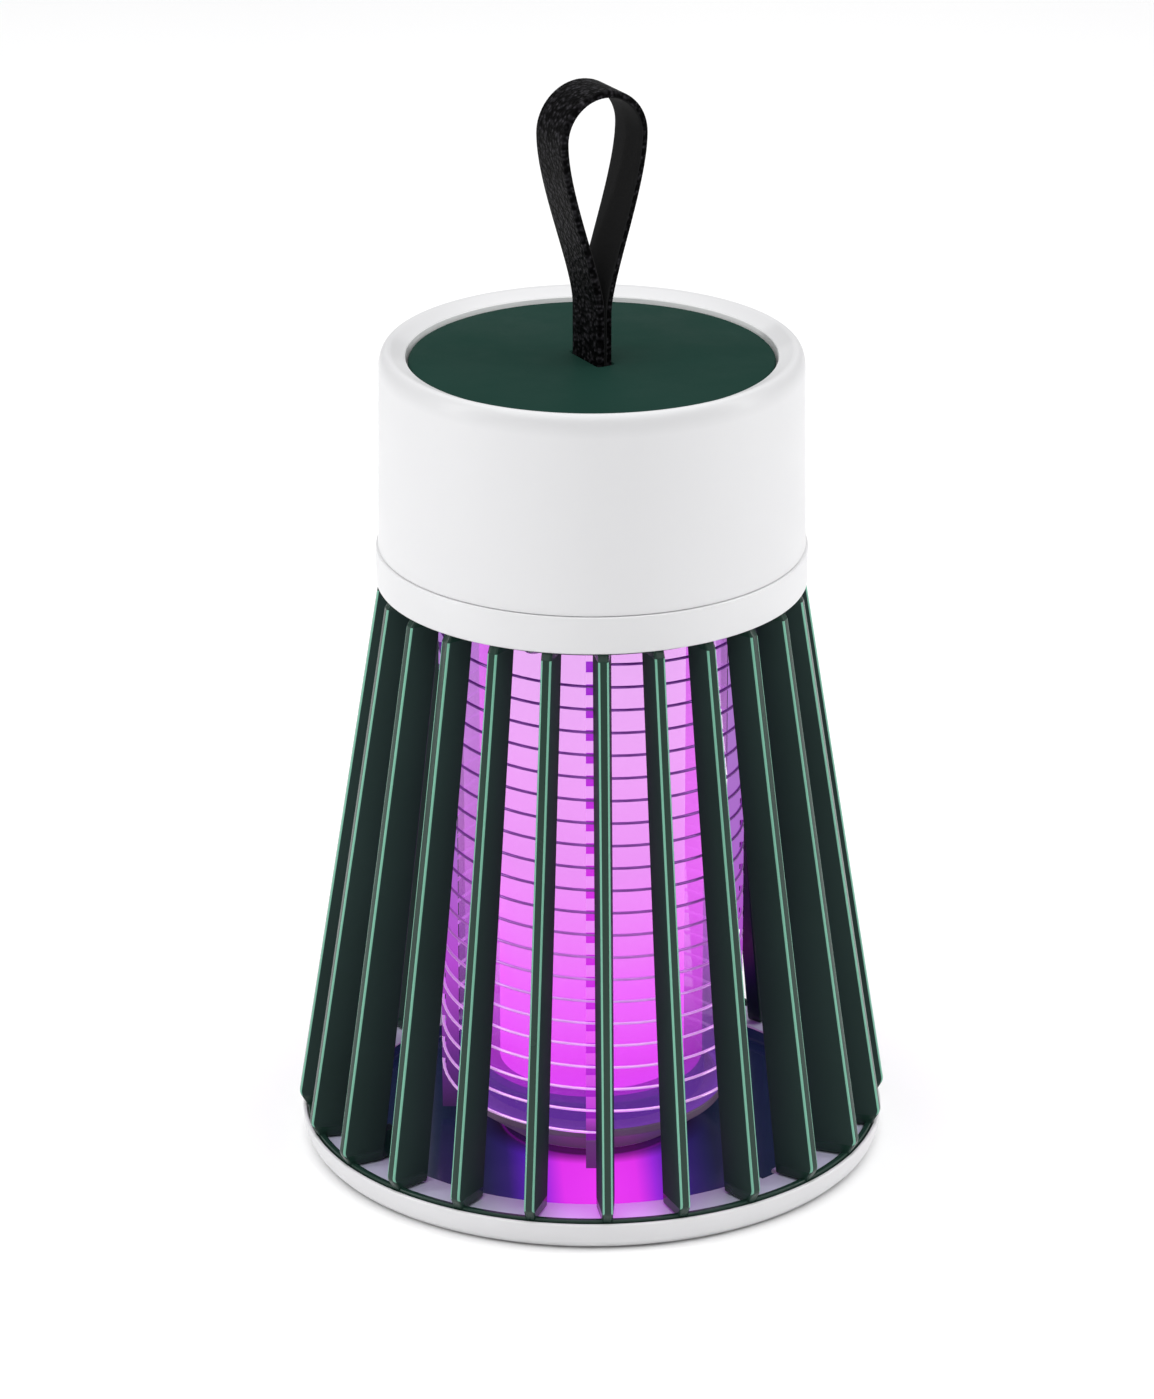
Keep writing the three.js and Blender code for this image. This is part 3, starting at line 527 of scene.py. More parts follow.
def floor_finish(name):
    """Matt white floor, a shade uneven."""
    made = Nodes(name, Roughness=0.9, Specular_IOR_Level=0.1)
    tone = made.noise(3, 2)
    made.to("Base Color", made.ramp(tone, (0.3, (0.90, 0.90, 0.905)), (0.7, (0.92, 0.92, 0.92))))
    return made.material


WHITE = plastic("white_abs", (0.70, 0.70, 0.71), 0.36, Coat_Weight=0.08, Coat_Roughness=0.2)
# Painted shade: the head's white darkens towards the rim.
HEAD_WHITE_PAINTED_SHADE = head_plastic_painted_shade("white_abs_head_painted_shade")
# Painted light: the lid's recess wall, a brighter white than the head to lift it out of its shade.
RECESS_WHITE_PAINTED_LIGHT = plastic(
    "white_abs_recess_painted_light", (0.93, 0.93, 0.93), 0.36, Coat_Weight=0.08, Coat_Roughness=0.2,
)
GREEN = plastic(
    "green_abs", (0.012, 0.036, 0.026), 0.24,
    grain=1400, relief=0.02, strength=0.12, vary=0.08, Specular_IOR_Level=0.3,
)
# Matt fin sides, their lighter bluish green painted light from the lamp.
FIN_SIDES_MATT_PAINTED_LIGHT = plastic(
    "green_abs_sides_matt_painted_light", (0.026, 0.046, 0.041), 0.5,
    grain=1700, relief=0.03, strength=0.3, vary=0.12, Specular_IOR_Level=0.02,
)
# Painted highlight: bright mint lines along the fins' nose corners.
FIN_EDGES_PAINTED_HIGHLIGHT = plastic(
    "green_abs_edges_painted_highlight", (0.17, 0.44, 0.32), 0.3,
    grain=1400, relief=0.02, strength=0.12, vary=0.08, Specular_IOR_Level=0.4,
)
LID = plastic(
    "lid_abs", (0.0095, 0.033, 0.0255), 0.55,
    grain=1900, relief=0.04, strength=0.4, vary=0.08, Specular_IOR_Level=0.02,
)
TUBE = glow(
    "tube_core", 2.0, (0.20, 0.14, 0.22),
    (18.0, (0.86, 0.05, 0.95)), (26.0, (0.88, 0.065, 0.97)), (38.0, (0.74, 0.11, 0.77)),
    (47.0, (0.61, 0.18, 0.58)), (68.0, (0.36, 0.28, 0.35)), (127.0, (0.56, 0.54, 0.48)),
)
HAZE = glow(
    "tube_haze", 1.8, (0.10, 0.01, 0.12),
    (18.0, (0.55, 0.01, 0.65)), (45.0, (0.85, 0.012, 0.85)), (90.0, (0.85, 0.012, 0.80)),
    (127.0, (0.62, 0.012, 0.68)), Alpha=0.3,
)
SLEEVE = glow(
    "sleeve_film", 1.0, (0.05, 0.03, 0.06),
    (12.0, (0.18, 0.04, 0.50)), (26.0, (0.09, 0.03, 0.18)), (38.0, (0.26, 0.09, 0.38)),
    (47.0, (0.38, 0.09, 0.56)), (68.0, (0.62, 0.18, 0.76)), (100.0, (0.58, 0.22, 0.74)),
    (127.0, (0.50, 0.19, 0.68)), Alpha=0.35, Specular_IOR_Level=0.1,
)
FOOT_GLOW = glow(
    "foot_glow", 1.0, (0.20, 0.02, 0.25), (3.0, (0.62, 0.03, 0.85)), (14.0, (0.70, 0.04, 0.85)),
)
DISH = dish_plastic("dish_floor")
LEDGE = ledge_plastic("tray_ledge")
VIOLET = plastic("violet_abs", (0.05, 0.02, 0.20), 0.3)
# Painted light: a faint mauve glow on the grid's bowl, which sits in shade.
GREY_PAINTED_LIGHT = glow(
    "grey_polyamide_painted_light", 1.0, (0.10, 0.085, 0.11),
    (3.0, (0.06, 0.026, 0.068)), (13.0, (0.045, 0.026, 0.05)),
)
# Painted light from the lamp on the clear front and back posts, dark at their feet.
POST_PAINTED_LIGHT = glow(
    "post_acrylic_painted_light", 1.0, (0.14, 0.06, 0.16),
    (5.0, (0.03, 0.01, 0.05)), (13.0, (0.06, 0.015, 0.09)), (18.0, (0.45, 0.03, 0.58)),
    (36.0, (0.78, 0.08, 0.86)), (60.0, (0.78, 0.22, 0.86)), (127.0, (0.80, 0.42, 0.87)),
)
# A dimmer copy of the posts' painted light, for the side posts.
SIDE_POST_PAINTED_LIGHT = glow(
    "post_acrylic_side_painted_light", 1.0, (0.10, 0.05, 0.13),
    (5.0, (0.02, 0.006, 0.04)), (18.0, (0.10, 0.015, 0.18)), (40.0, (0.40, 0.05, 0.54)),
    (70.0, (0.36, 0.13, 0.52)), (127.0, (0.36, 0.20, 0.52)),
)
# Painted shade and light on the notch floors: darker, deeper magenta than the teeth.
NOTCH = glow(
    "post_shadow", 1.0, (0.10, 0.01, 0.14),
    (5.0, (0.02, 0.006, 0.05)), (18.0, (0.26, 0.012, 0.42)), (36.0, (0.55, 0.02, 0.70)),
    (70.0, (0.62, 0.025, 0.70)), (127.0, (0.27, 0.02, 0.55)),
)
WIRE = lit_wire("grid_steel")
STEEL = metal("zinc_steel", (0.55, 0.56, 0.58), 0.28)
NICKEL = metal("nickel_strip", (0.66, 0.62, 0.52), 0.3)
# Pebble grain, with strong painted glints on the pebbles and painted shade in their creases.
GRAIN_AND_GLINTS = leather(
    "leather_grain_and_glints", (0.0115, 0.011, 0.0125), cell=1200, relief=0.4, roughness=0.42, painted_shading=0.9,
)
BACKING = leather(
    "leather_backing", (0.0165, 0.0165, 0.017), cell=3800, relief=0.05, roughness=0.6, painted_shading=0.05,
)
RUBBER = plastic(
    "black_rubber", (0.022, 0.022, 0.024), 0.75, grain=1200, relief=0.05, strength=0.5,
)
BLACK = plastic("black_nylon", (0.012, 0.012, 0.013), 0.45)
BOARD = board_finish("solder_mask")
CELL = wrap("cell_wrap", (0.03, 0.13, 0.50), 900)
CAN = wrap("capacitor_wrap", (0.02, 0.03, 0.10), 700)
LEAD = plastic("lead_silicone", (0.50, 0.02, 0.015), 0.5)
PACKAGE = plastic("led_package", (0.85, 0.82, 0.72), 0.3)
LENS = plastic("lens_acrylic", (0.75, 0.20, 0.16), 0.12)
FLOOR = floor_finish("studio_floor")


# ---------------------------------------------------------------- base tray

RIM_RADIUS, RIM_TOP = radius_of("base_tray"), top_of("base_tray")
DISH_RADIUS, DISH_FLOOR, DISH_UNDERSIDE = 53.0, 2.8, 1.5
LEDGE_OUTER, LEDGE_TOP = 61.7, 6.2
GROOVE_FLOOR = 4.9             # of the groove between ledge and rim
SKIRT_OUTER, SKIRT_INNER = 62.0, 60.8
HOLLOW_INNER, HOLLOW_TOP = 56.8, 3.6
HOOKS, TWIST, HOOK_PLAY = (60, 180, 300), 18, 2.7
SLOT_DEPTH, SLOT_LOW, SLOT_HIGH = 2.1, 3.2, 5.2
PAD_RING, PAD_RADIUS = 46.0, 5.0


def ring_sector(inner, outer, bottom, top, start, end, steps=24):
    """Part of a ring between two azimuths."""
    corners = ((inner, bottom), (outer, bottom), (outer, top), (inner, top))
    turns = [start + (end - start) * k / steps for k in range(steps + 1)]
    return loft([[around(r, a, z) for r, z in corners] for a in turns])


def hook_slot(hook):
    """Bayonet slot in the dish's wall: a way in from above, then a run the length of the twist."""
    free = hook - TWIST
    outer = DISH_RADIUS + SLOT_DEPTH
    run = ring_sector(
        DISH_RADIUS - 1, outer, SLOT_LOW, SLOT_HIGH, free - HOOK_PLAY, hook + HOOK_PLAY)
    way_in = ring_sector(
        DISH_RADIUS - 1.2, outer, SLOT_LOW + 0.2, LEDGE_TOP + 1, free - HOOK_PLAY, free + HOOK_PLAY, 8)
    return add(run, way_in)


def tray_finish(face, centre, radius):
    """1 in the dish, 2 on the ledge, 0 on the rest of the tray."""
    in_dish = radius < DISH_RADIUS + 0.05 and DISH_FLOOR - 0.1 < centre.z < LEDGE_TOP - 0.6
    if in_dish and face.normal.z > -0.2:
        return 1
    return 2 if abs(centre.z - LEDGE_TOP) < 0.1 and face.normal.z > 0.6 else 0


def base_tray():
    bottom, wall = foot_of("base_tray"), RIM_RADIUS - 0.9
    tray = lathe(rounded([
        (0, DISH_FLOOR), (DISH_RADIUS, DISH_FLOOR, 1.0), (DISH_RADIUS, LEDGE_TOP, 0.35),
        (LEDGE_OUTER, LEDGE_TOP, 0.25), (LEDGE_OUTER, GROOVE_FLOOR, 0.3), (wall, GROOVE_FLOOR, 0.3),
        (wall, RIM_TOP, 0.22), (RIM_RADIUS, RIM_TOP, 0.4), (RIM_RADIUS - 0.3, 3.8, 6),
        (RIM_RADIUS - 1.1, 1.8, 2.5), (SKIRT_OUTER, bottom, 0.5), (SKIRT_INNER, bottom, 0.3),
        (SKIRT_INNER, HOLLOW_TOP, 0.6), (HOLLOW_INNER, HOLLOW_TOP, 0.6),
        (HOLLOW_INNER, DISH_UNDERSIDE, 0.3), (0, DISH_UNDERSIDE),
    ], 5, closed=False))
    cut(tray, *[hook_slot(hook) for hook in HOOKS])
    hand_in(tray, "tray_shell", "base", ["base_tray"], "white_plastic", WHITE, DISH, LEDGE)
    paint(tray, tray_finish)


def rubber_feet():
    height = top_of("rubber_foot_1")
    profile = rounded([
        (0, 0.35), (2.6, 0.35, 0.3), (3.1, 0, 0.25), (PAD_RADIUS, 0, 0.4), (PAD_RADIUS, height, 0.1),
        (0, height),
    ], 4, closed=False)
    for i in range(4):
        pad = moved(lathe(profile, 64), Matrix.Translation(around(PAD_RING, 45 + 90 * i)))
        hand_in(pad, f"foot_pad_{i + 1}", "base", [f"rubber_foot_{i + 1}"], "foot_rubber", RUBBER)


# ---------------------------------------------------------------- guard cage

FIN_COUNT = 24
FIN_BACK, FIN_FRONT = 2.0, 1.1             # half thicknesses
FIN_BOTTOM, FIN_TOP = RIM_TOP, top_of("fin_cage")
FOOT_INNER, HEAD_INNER = 55.5, 39.6        # distance of the fins' inner edges from the axis
BACK_RADIUS, NOSE_RADIUS = 0.35, 0.6
FLANGE_INNER, FLANGE_OUTER, FLANGE_BOTTOM = 34.0, 42.0, 128.6
HOOP_INNER, HOOP_OUTER, HOOP_BOTTOM, HOOP_TOP = 62.0, 63.3, 5.2, 7.2
CAGE_SCREWS, CAGE_RING = (97.5, 217.5, 337.5), 37.0


def fin_section(inner, outer, back, front, place, z):
    """Level slice of a fin, a wedge between two half thicknesses with rounded corners."""
    outline = rounded([
        (inner, -back, BACK_RADIUS), (outer, -front, NOSE_RADIUS), (outer, front, NOSE_RADIUS),
        (inner, back, BACK_RADIUS),
    ], 6)
    return [place @ Vector((x, z, y)) for x, y in outline]


def fin(azimuth):
    """One guard fin, lofted up from a rounded foot with its nose chamfered under."""
    place = radial_frame(azimuth)
    nose = rounded([
        (53.0, FIN_BOTTOM), (63.4, FIN_BOTTOM, 0.6), (65.2, 9.7, 2.2), (46.42, 128.8, 0.5),
        (45.5, FIN_TOP),
    ], 6, closed=False)[1:]
    sections = []
    for outer, z in nose:
        inner = FOOT_INNER + (HEAD_INNER - FOOT_INNER) * (z - FIN_BOTTOM) / (FIN_TOP - FIN_BOTTOM)
        # The foot's sides are rounded in by 0.3 over its lowest 0.5.
        lift = min(z - FIN_BOTTOM, 0.5) / 0.5
        pull = 0.3 * (1 - math.sqrt(max(0.0, 1 - (1 - lift) ** 2)))
        sections.append(fin_section(inner, outer, FIN_BACK - pull, FIN_FRONT - pull, place, z))
    return loft(sections)


def fin_finish(face, centre, radius):
    """0 on a fin's nose, its back and the rings, 1 on its sides, which carry painted light, 2 on its
    nose's corners, which carry a painted highlight.
    """
    step = math.radians(360 / FIN_COUNT)
    out = around(1, math.degrees(round(math.atan2(centre.x, -centre.y) / step) * step))
    facing = face.normal.dot(out)
    on_fin = FIN_BOTTOM + 1 < centre.z < FIN_TOP - 1.8 and face.normal.z >= -0.3
    if not on_fin or not -0.6 <= facing <= 0.95:
        return 0
    return 2 if 0.3 < facing else 1


def fin_cage():
    fins = [fin(360 * k / FIN_COUNT) for k in range(FIN_COUNT)]
    flange = lathe(rounded([
        (FLANGE_INNER, FLANGE_BOTTOM, 0.3), (FLANGE_OUTER, FLANGE_BOTTOM, 0.3),
        (FLANGE_OUTER, FIN_TOP, 0.2), (FLANGE_INNER, FIN_TOP, 0.2),
    ]))
    hoop = lathe(rounded([
        (HOOP_INNER, HOOP_BOTTOM, 0.3), (HOOP_OUTER, HOOP_BOTTOM, 0.3),
        (HOOP_OUTER, HOOP_TOP, 0.3), (HOOP_INNER, HOOP_TOP, 0.3),
    ]))
    hook = rounded([
        (50.4, 3.6, 0.4), (54.7, 3.6, 0.4), (54.7, 4.8, 0.3), (52.6, 4.8, 0.3), (52.6, 6.8),
        (57.5, 6.8), (57.5, 13.0), (51.8, 13.0, 0.3), (50.4, 9.0, 2),
    ])
    hooks = [slab(hook, -1.5, 1.5, radial_frame(azimuth)) for azimuth in HOOKS]
    cage = add(joined(fins), flange, hoop, *hooks)
    holes = [pillar(1.6, FIN_TOP - 4, FIN_TOP + 1, around(CAGE_RING, a)) for a in CAGE_SCREWS]
    cut(cage, *holes)
    finishes = (GREEN, FIN_SIDES_MATT_PAINTED_LIGHT, FIN_EDGES_PAINTED_HIGHLIGHT)
    hand_in(cage, "guard_cage", "lamp", ["fin_cage"], "green_plastic", *finishes, angle=40)
    paint(cage, fin_finish)


# ---------------------------------------------------------------- grid and tube

WIRE_FIRST, WIRE_PITCH, WIRE_LEVELS = 13.55, 5.22, 21
WIRE_LAST = WIRE_FIRST + WIRE_LEVELS * WIRE_PITCH
GRID_RADIUS, WIRE_RADIUS = 33.0, 0.33
POSTS = [-3 + 90 * k for k in range(4)]
POST_BOTTOM, POST_TOP = foot_of("grid_post_1"), top_of("grid_post_1")
POST_INNER, POST_OUTER, POST_HALF = 29.6, 33.3, 1.3
NOTCH_FLOOR, NOTCH_BELOW, NOTCH_ABOVE = 32.4, 1.9, 0.6
HUB_RADIUS = 19.6


def grid_wire(name, node, start):
    """Round wire wound up the posts, its two ends domed."""
    turns = (WIRE_LAST - WIRE_FIRST) / (2 * WIRE_PITCH)
    steps, sides = int(turns * 72), 8
    sections = []
    for k in range(steps + 1):
        azimuth = start - 360 * turns * k / steps
        middle = around(GRID_RADIUS, azimuth, WIRE_FIRST + (WIRE_LAST - WIRE_FIRST) * k / steps)
        out = around(1, azimuth)
        size = WIRE_RADIUS * (0.75 if k in (0, steps) else 1)
        sections.append([
            middle + out * size * math.cos(2 * math.pi * j / sides)
            + Vector((0, 0, size * math.sin(2 * math.pi * j / sides)))
            for j in range(sides)
        ])
    hand_in(loft(sections), name, "lamp", [node], "grid_wire", WIRE, angle=60)


def comb_outline(azimuth):
    """A post's side view, with a notch for each turn of wire that passes it."""
    outline = [
        (POST_INNER, POST_TOP, 0.3), (POST_INNER, POST_BOTTOM, 0.3), (POST_OUTER, POST_BOTTOM, 0.3),
    ]
    level = WIRE_FIRST + (-2 * WIRE_PITCH * azimuth / 360) % WIRE_PITCH
    while level < WIRE_LAST + WIRE_PITCH:
        low, high = level - NOTCH_BELOW, level + NOTCH_ABOVE
        if high < POST_TOP:
            outline += [(POST_OUTER, low, 0.3), (NOTCH_FLOOR, low, 0.3)]
            outline += [(NOTCH_FLOOR, high, 0.3), (POST_OUTER, high, 0.3)]
        level += WIRE_PITCH
    return rounded(outline + [(POST_OUTER, POST_TOP, 0.3)], 3)


def grid_posts():
    """Four combs with painted light from the lamp, stronger on the front and back ones than on the side
    ones; their notch floors carry painted shade.
    """
    for i, azimuth in enumerate(POSTS):
        comb = slab(comb_outline(azimuth), -POST_HALF, POST_HALF, radial_frame(azimuth))
        node, tooth = f"grid_post_{i + 1}", POST_PAINTED_LIGHT if i % 2 == 0 else SIDE_POST_PAINTED_LIGHT
        hand_in(comb, f"post_comb_{i + 1}", "lamp", [node], "post_plastic", tooth, NOTCH)
        paint(comb, lambda face, centre, radius: len(face.vertices) < 5 and 31 < radius < 33)


def grid_foot():
    """Bowl under the grid, with faint painted light over it and stronger painted light from the lamp on
    the edge of its flat bottom.
    """
    node = "grid_bottom_plate"
    outer, bottom, rim = radius_of(node), foot_of(node), top_of(node)
    plate = lathe(rounded([
        (0, bottom), (20.3, bottom, 0.8), (outer, 10.6, 0.6), (outer, rim, 0.3), (outer - 2, rim, 0.3),
        (outer - 2, 11.0, 0.4), (HUB_RADIUS, bottom + 2, 0.6), (0, bottom + 2),
    ], 4, closed=False))
    finishes = (GREY_PAINTED_LIGHT, FOOT_GLOW)
    hand_in(plate, "grid_foot_plate", "lamp", [node], "grid_plate_plastic", *finishes)
    paint(plate, lambda face, centre, radius: centre.z < bottom + 1 and radius > HUB_RADIUS - 0.6)


def grid_ring():
    inner, outer, bottom = 25.5, radius_of("grid_top_plate"), foot_of("grid_top_plate")
    ring = lathe(rounded([
        (inner, bottom, 0.4), (outer, bottom, 0.4), (outer, FIN_TOP, 0.2), (inner, FIN_TOP, 0.2),
    ]))
    hand_in(ring, "grid_head_ring", "lamp", ["grid_top_plate"], "violet_plastic", VIOLET)


def light_tube():
    bore, outer, flange = 20.4, 24.5, radius_of("light_tube")
    bottom, top = foot_of("light_tube"), top_of("light_tube")
    tube = lathe(rounded([
        (bore, bottom, 0.4), (outer, bottom, 0.6), (outer, top - 1.6, 0.3), (flange, top - 1.6, 0.3),
        (flange, top, 0.3), (bore, top, 0.3),
    ]))
    hand_in(tube, "glow_tube", "lamp", ["light_tube"], "tube_plastic", HAZE, TUBE)
    paint(tube, lambda face, centre, radius: radius < bore + 0.1)


def tube_sleeve():
    outer, bottom, top = radius_of("tube_sleeve"), foot_of("tube_sleeve"), top_of("tube_sleeve")
    inner = outer - 1.4
    sleeve = lathe(rounded([
        (inner, bottom, 0.3), (outer, bottom, 0.4), (outer, top, 0.3), (inner, top, 0.3),
    ]))
    hand_in(sleeve, "tube_sleeve_film", "lamp", ["tube_sleeve"], "sleeve_plastic", SLEEVE)


def tube_cap():
    outer, bottom, top = radius_of("tube_cap"), foot_of("tube_cap"), top_of("tube_cap")
    plug, hollow, shoulder = 20.1, 18.4, 17.7
    cap = lathe(rounded([
        (0, bottom), (outer, bottom, 0.4), (outer, shoulder - 1, 0.6), (plug, shoulder, 0.2),
        (plug, top, 0.3), (hollow, top, 0.3), (hollow, bottom + 1.6, 0.5), (0, bottom + 1.6),
    ], 4, closed=False))
    hand_in(cap, "tube_foot", "lamp", ["tube_cap"], "violet_plastic", VIOLET)


# ---------------------------------------------------------------- head

HEAD_BOTTOM, HEAD_TOP = foot_of("head_base"), top_of("upper_housing")
COLLAR_RADIUS, SHELL_RADIUS = radius_of("head_base"), radius_of("upper_housing")
FLOOR_TOP, SHELL_BOTTOM, HEAD_WALL = 132.8, foot_of("upper_housing"), 2.4
HEAD_MOUTH = 24.2              # radius of the hole for the tube
HEAD_CREST, SHOULDER = 43.6, (2.0, 4.0)    # radius of the rim's crest, and its round-over
LIP_RADIUS, SEAT = 39.8, 177.6             # of the lid's recess
HOUSING_SCREWS, HOUSING_RING = (30, 150, 270), 39.2
BOARD_SCREWS, BOARD_RING = (0, 120, 240), 30.0
LEADS, LEAD_RING = (60, 180), 29.0
BUTTON_Z, LENS_Z = 162.0, 171.0
USB_LOW, USB_HIGH = foot_of("usb_port"), top_of("usb_port")
# Stands an outline up, with its y upwards and its z towards the back.
STANDING = Matrix(((-1, 0, 0, 0), (0, 0, 1, 0), (0, 1, 0, 0), (0, 0, 0, 1)))


def along_y(piece, height):
    """Turns a piece made along Z to run along +Y at a height."""
    turn = Matrix.Rotation(math.radians(-90), 4, "X")
    return moved(piece, Matrix.Translation((0, 0, height)) @ turn)


def collar():
    inner, ridge, brim = COLLAR_RADIUS - 3.3, 143.0, SHELL_BOTTOM - 0.12
    shell = lathe(rounded([
        (HEAD_MOUTH, HEAD_BOTTOM, 0.3), (COLLAR_RADIUS, HEAD_BOTTOM, 0.6), (COLLAR_RADIUS, brim, 0.2),
        (inner, brim, 0.2), (inner, ridge, 0.4), (inner - 1.7, ridge, 0.4),
        (inner - 1.7, FLOOR_TOP, 0.8), (HEAD_MOUTH, FLOOR_TOP, 0.3),
    ]))
    low = HEAD_BOTTOM + 1
    bosses, holes = [], []
    for a in HOUSING_SCREWS:
        place = around(HOUSING_RING, a)
        bosses.append(pillar(3.2, low, ridge, place))
        sunk = lathe([
            (0, low - 2), (3.2, low - 2), (2.8, low - 0.6), (2.8, low + 1.5), (1.55, low + 1.5),
            (1.55, ridge + 1), (0, ridge + 1),
        ], SMALL_SIDES)
        holes.append(moved(sunk, Matrix.Translation(place)))
    for a in CAGE_SCREWS:
        bosses.append(pillar(3.0, low, 137.5, around(CAGE_RING, a)))
        holes.append(pillar(1.55, low - 2, 136.0, around(CAGE_RING, a)))
    for a in BOARD_SCREWS:
        bosses.append(pillar(2.6, low, top_of("head_base"), around(BOARD_RING, a)))
        holes.append(pillar(1.55, 138.0, 146.0, around(BOARD_RING, a)))
    holes += [pillar(1.6, low - 2, FLOOR_TOP + 1, around(LEAD_RING, a)) for a in LEADS]
    shell = cut(add(shell, *bosses), *holes)
    hand_in(shell, "head_collar", "lamp", ["head_base"], "white_plastic", WHITE)


def head_shell():
    corner, shelf = SHELL_RADIUS - 0.5, SEAT - 1.8
    inner = corner - HEAD_WALL
    across, up = SHOULDER
    shoulder = [
        (HEAD_CREST + across * math.cos(t), HEAD_TOP + up * (math.sin(t) - 1))
        for t in (math.radians(90 * k / 12) for k in range(1, 13))
    ]
    shell = lathe(rounded([
        (SHELL_RADIUS - HEAD_WALL, SHELL_BOTTOM, 0.2), (SHELL_RADIUS, SHELL_BOTTOM, 0.2),
        (corner, HEAD_TOP - up), *shoulder, (HEAD_CREST - 0.7, HEAD_TOP - 0.2, 0.6),
        (LIP_RADIUS, HEAD_TOP - 1.6, 0.4), (LIP_RADIUS, SEAT, 0.1), (36.6, SEAT, 0.3),
        (36.6, shelf, 0.3), (inner - 1.6, shelf, 0.4), (inner, shelf - 1.6, 0.4),
    ], 10))
    bosses, holes = [], []
    low, high = 143.4, shelf + 0.5
    for a in HOUSING_SCREWS:
        place = around(HOUSING_RING, a)
        rib = [(HOUSING_RING, low), (44.0, low), (44.0, high), (HOUSING_RING, high)]
        bosses.append(add(pillar(3.2, low, high, place), slab(rib, -0.8, 0.8, radial_frame(a))))
        holes.append(pillar(1.5, low - 1, 153.0, place))
    shell = add(shell, *bosses)
    button = lathe([(0, 38), (5.3, 38), (5.3, 44.9), (6.3, 46.3), (0, 46.3)], 96)
    lens = lathe([(0, 38), (1.7, 38), (1.7, 45.2), (2.1, 46.3), (0, 46.3)], SMALL_SIDES)
    mouth = rounded([
        (x, z, 1.3) for x, z in (
            (-4.8, USB_LOW - 0.3), (4.8, USB_LOW - 0.3), (4.8, USB_HIGH + 0.3), (-4.8, USB_HIGH + 0.3))
    ], 6)
    holes += [along_y(button, BUTTON_Z), along_y(lens, LENS_Z), slab(mouth, 40, 48, STANDING)]
    shell = cut(shell, *holes)
    finishes = (HEAD_WHITE_PAINTED_SHADE, RECESS_WHITE_PAINTED_LIGHT)
    hand_in(shell, "head_shell", "lamp", ["upper_housing"], "white_plastic", *finishes)
    # Faces of the recess wall above the lid's seat get the painted light.
    paint(shell, lambda face, centre, radius: radius < LIP_RADIUS + 0.1 and centre.z > SEAT)


# ---------------------------------------------------------------- lid and carrying strap

STRAP_AZIMUTH = 27
STRAP_YAW = Matrix.Rotation(math.radians(STRAP_AZIMUTH), 4, "Z")
STRAP_WIDTH, STRAP_THICKNESS, STRAP_EDGE = 11.6, 1.6, 0.45
SPLITS = 8                     # of each flat side of the strap
LID_RADIUS, LID_TOP, LID_BOTTOM = radius_of("top_lid"), top_of("top_lid"), 177.9
CLAMP_OFFSET = 13.0            # of the clamp's screws from the axis
# Heights of the leg's points, close together where the strap folds.
FOLD_LEVELS = (179.5, 180.5, 181.3, 182, 182.6, 183.2, 183.8, 184.5, 185.3, 186.2, 188, 190)


def lid_disc():
    """Lid with two bosses for the clamp, and a flared slot for the strap."""
    disc = lathe(rounded([
        (0, LID_BOTTOM), (LID_RADIUS, LID_BOTTOM, 0.3), (LID_RADIUS, LID_TOP, 0.75), (0, LID_TOP),
    ], 5, closed=False))
    places = [Vector((side * CLAMP_OFFSET, 0, 0)) for side in (-1, 1)]
    low, high = foot_of("top_lid"), LID_BOTTOM + 0.5
    disc = add(disc, *[moved(pillar(2.6, low, high, place), STRAP_YAW) for place in places])
    half_x, half_y, flare = 1.9, 6.1, 0.9
    outline = rounded([
        (-half_x, -half_y, 0.8), (half_x, -half_y, 0.8), (half_x, half_y, 0.8), (-half_x, half_y, 0.8),
    ], 5)
    wide = [(x + math.copysign(flare, x), y + math.copysign(flare, y)) for x, y in outline]
    slot = slab(outline, LID_BOTTOM - 4, LID_TOP + 1, STRAP_YAW)
    rings = ((outline, LID_TOP - 0.35), (wide, LID_TOP - 0.35 + flare))
    mouth = loft([[STRAP_YAW @ Vector((x, y, z)) for x, y in ring] for ring, z in rings])
    low, high = LID_BOTTOM - 3, LID_TOP - 1
    holes = [moved(pillar(1.5, low, high, place), STRAP_YAW) for place in places]
    disc = cut(cut(disc, slot, *holes), mouth)
    hand_in(disc, "lid_disc", "lamp", ["top_lid"], "lid_plastic", LID)


def bezier(a, b, c, d, steps):
    """Points along a cubic curve."""
    return [
        a * (1 - t) ** 3 + 3 * b * t * (1 - t) ** 2 + 3 * c * t * t * (1 - t) + d * t ** 3
        for t in (k / steps for k in range(steps + 1))
    ]


def strap_path():
    """Middle line of the band, from its end under the lid, up a leg, over and down the other."""
    half, span, shoulder, pinch = 0.83, 9.6, 230.4, 191.6
    tail, bend = 176.9, 1.2
    leg = [Vector((-8.3, tail)), Vector((-4.0, tail))]
    leg += [
        Vector((-half - bend + bend * math.sin(a), tail + bend - bend * math.cos(a)))
        for a in (math.radians(15 * k) for k in range(7))
    ]
    leg += [Vector((-half, z)) for z in FOLD_LEVELS]
    leg += bezier(
        Vector((-half, pinch)), Vector((-half, pinch + 8)), Vector((-span, shoulder - 11.4)),
        Vector((-span, shoulder)), 28)
    over = [
        Vector((-span * math.cos(a), shoulder + span * math.sin(a)))
        for a in (math.radians(180 * k / 36) for k in range(1, 36))
    ]
    return leg + over + [Vector((-p.x, p.y)) for p in reversed(leg)]


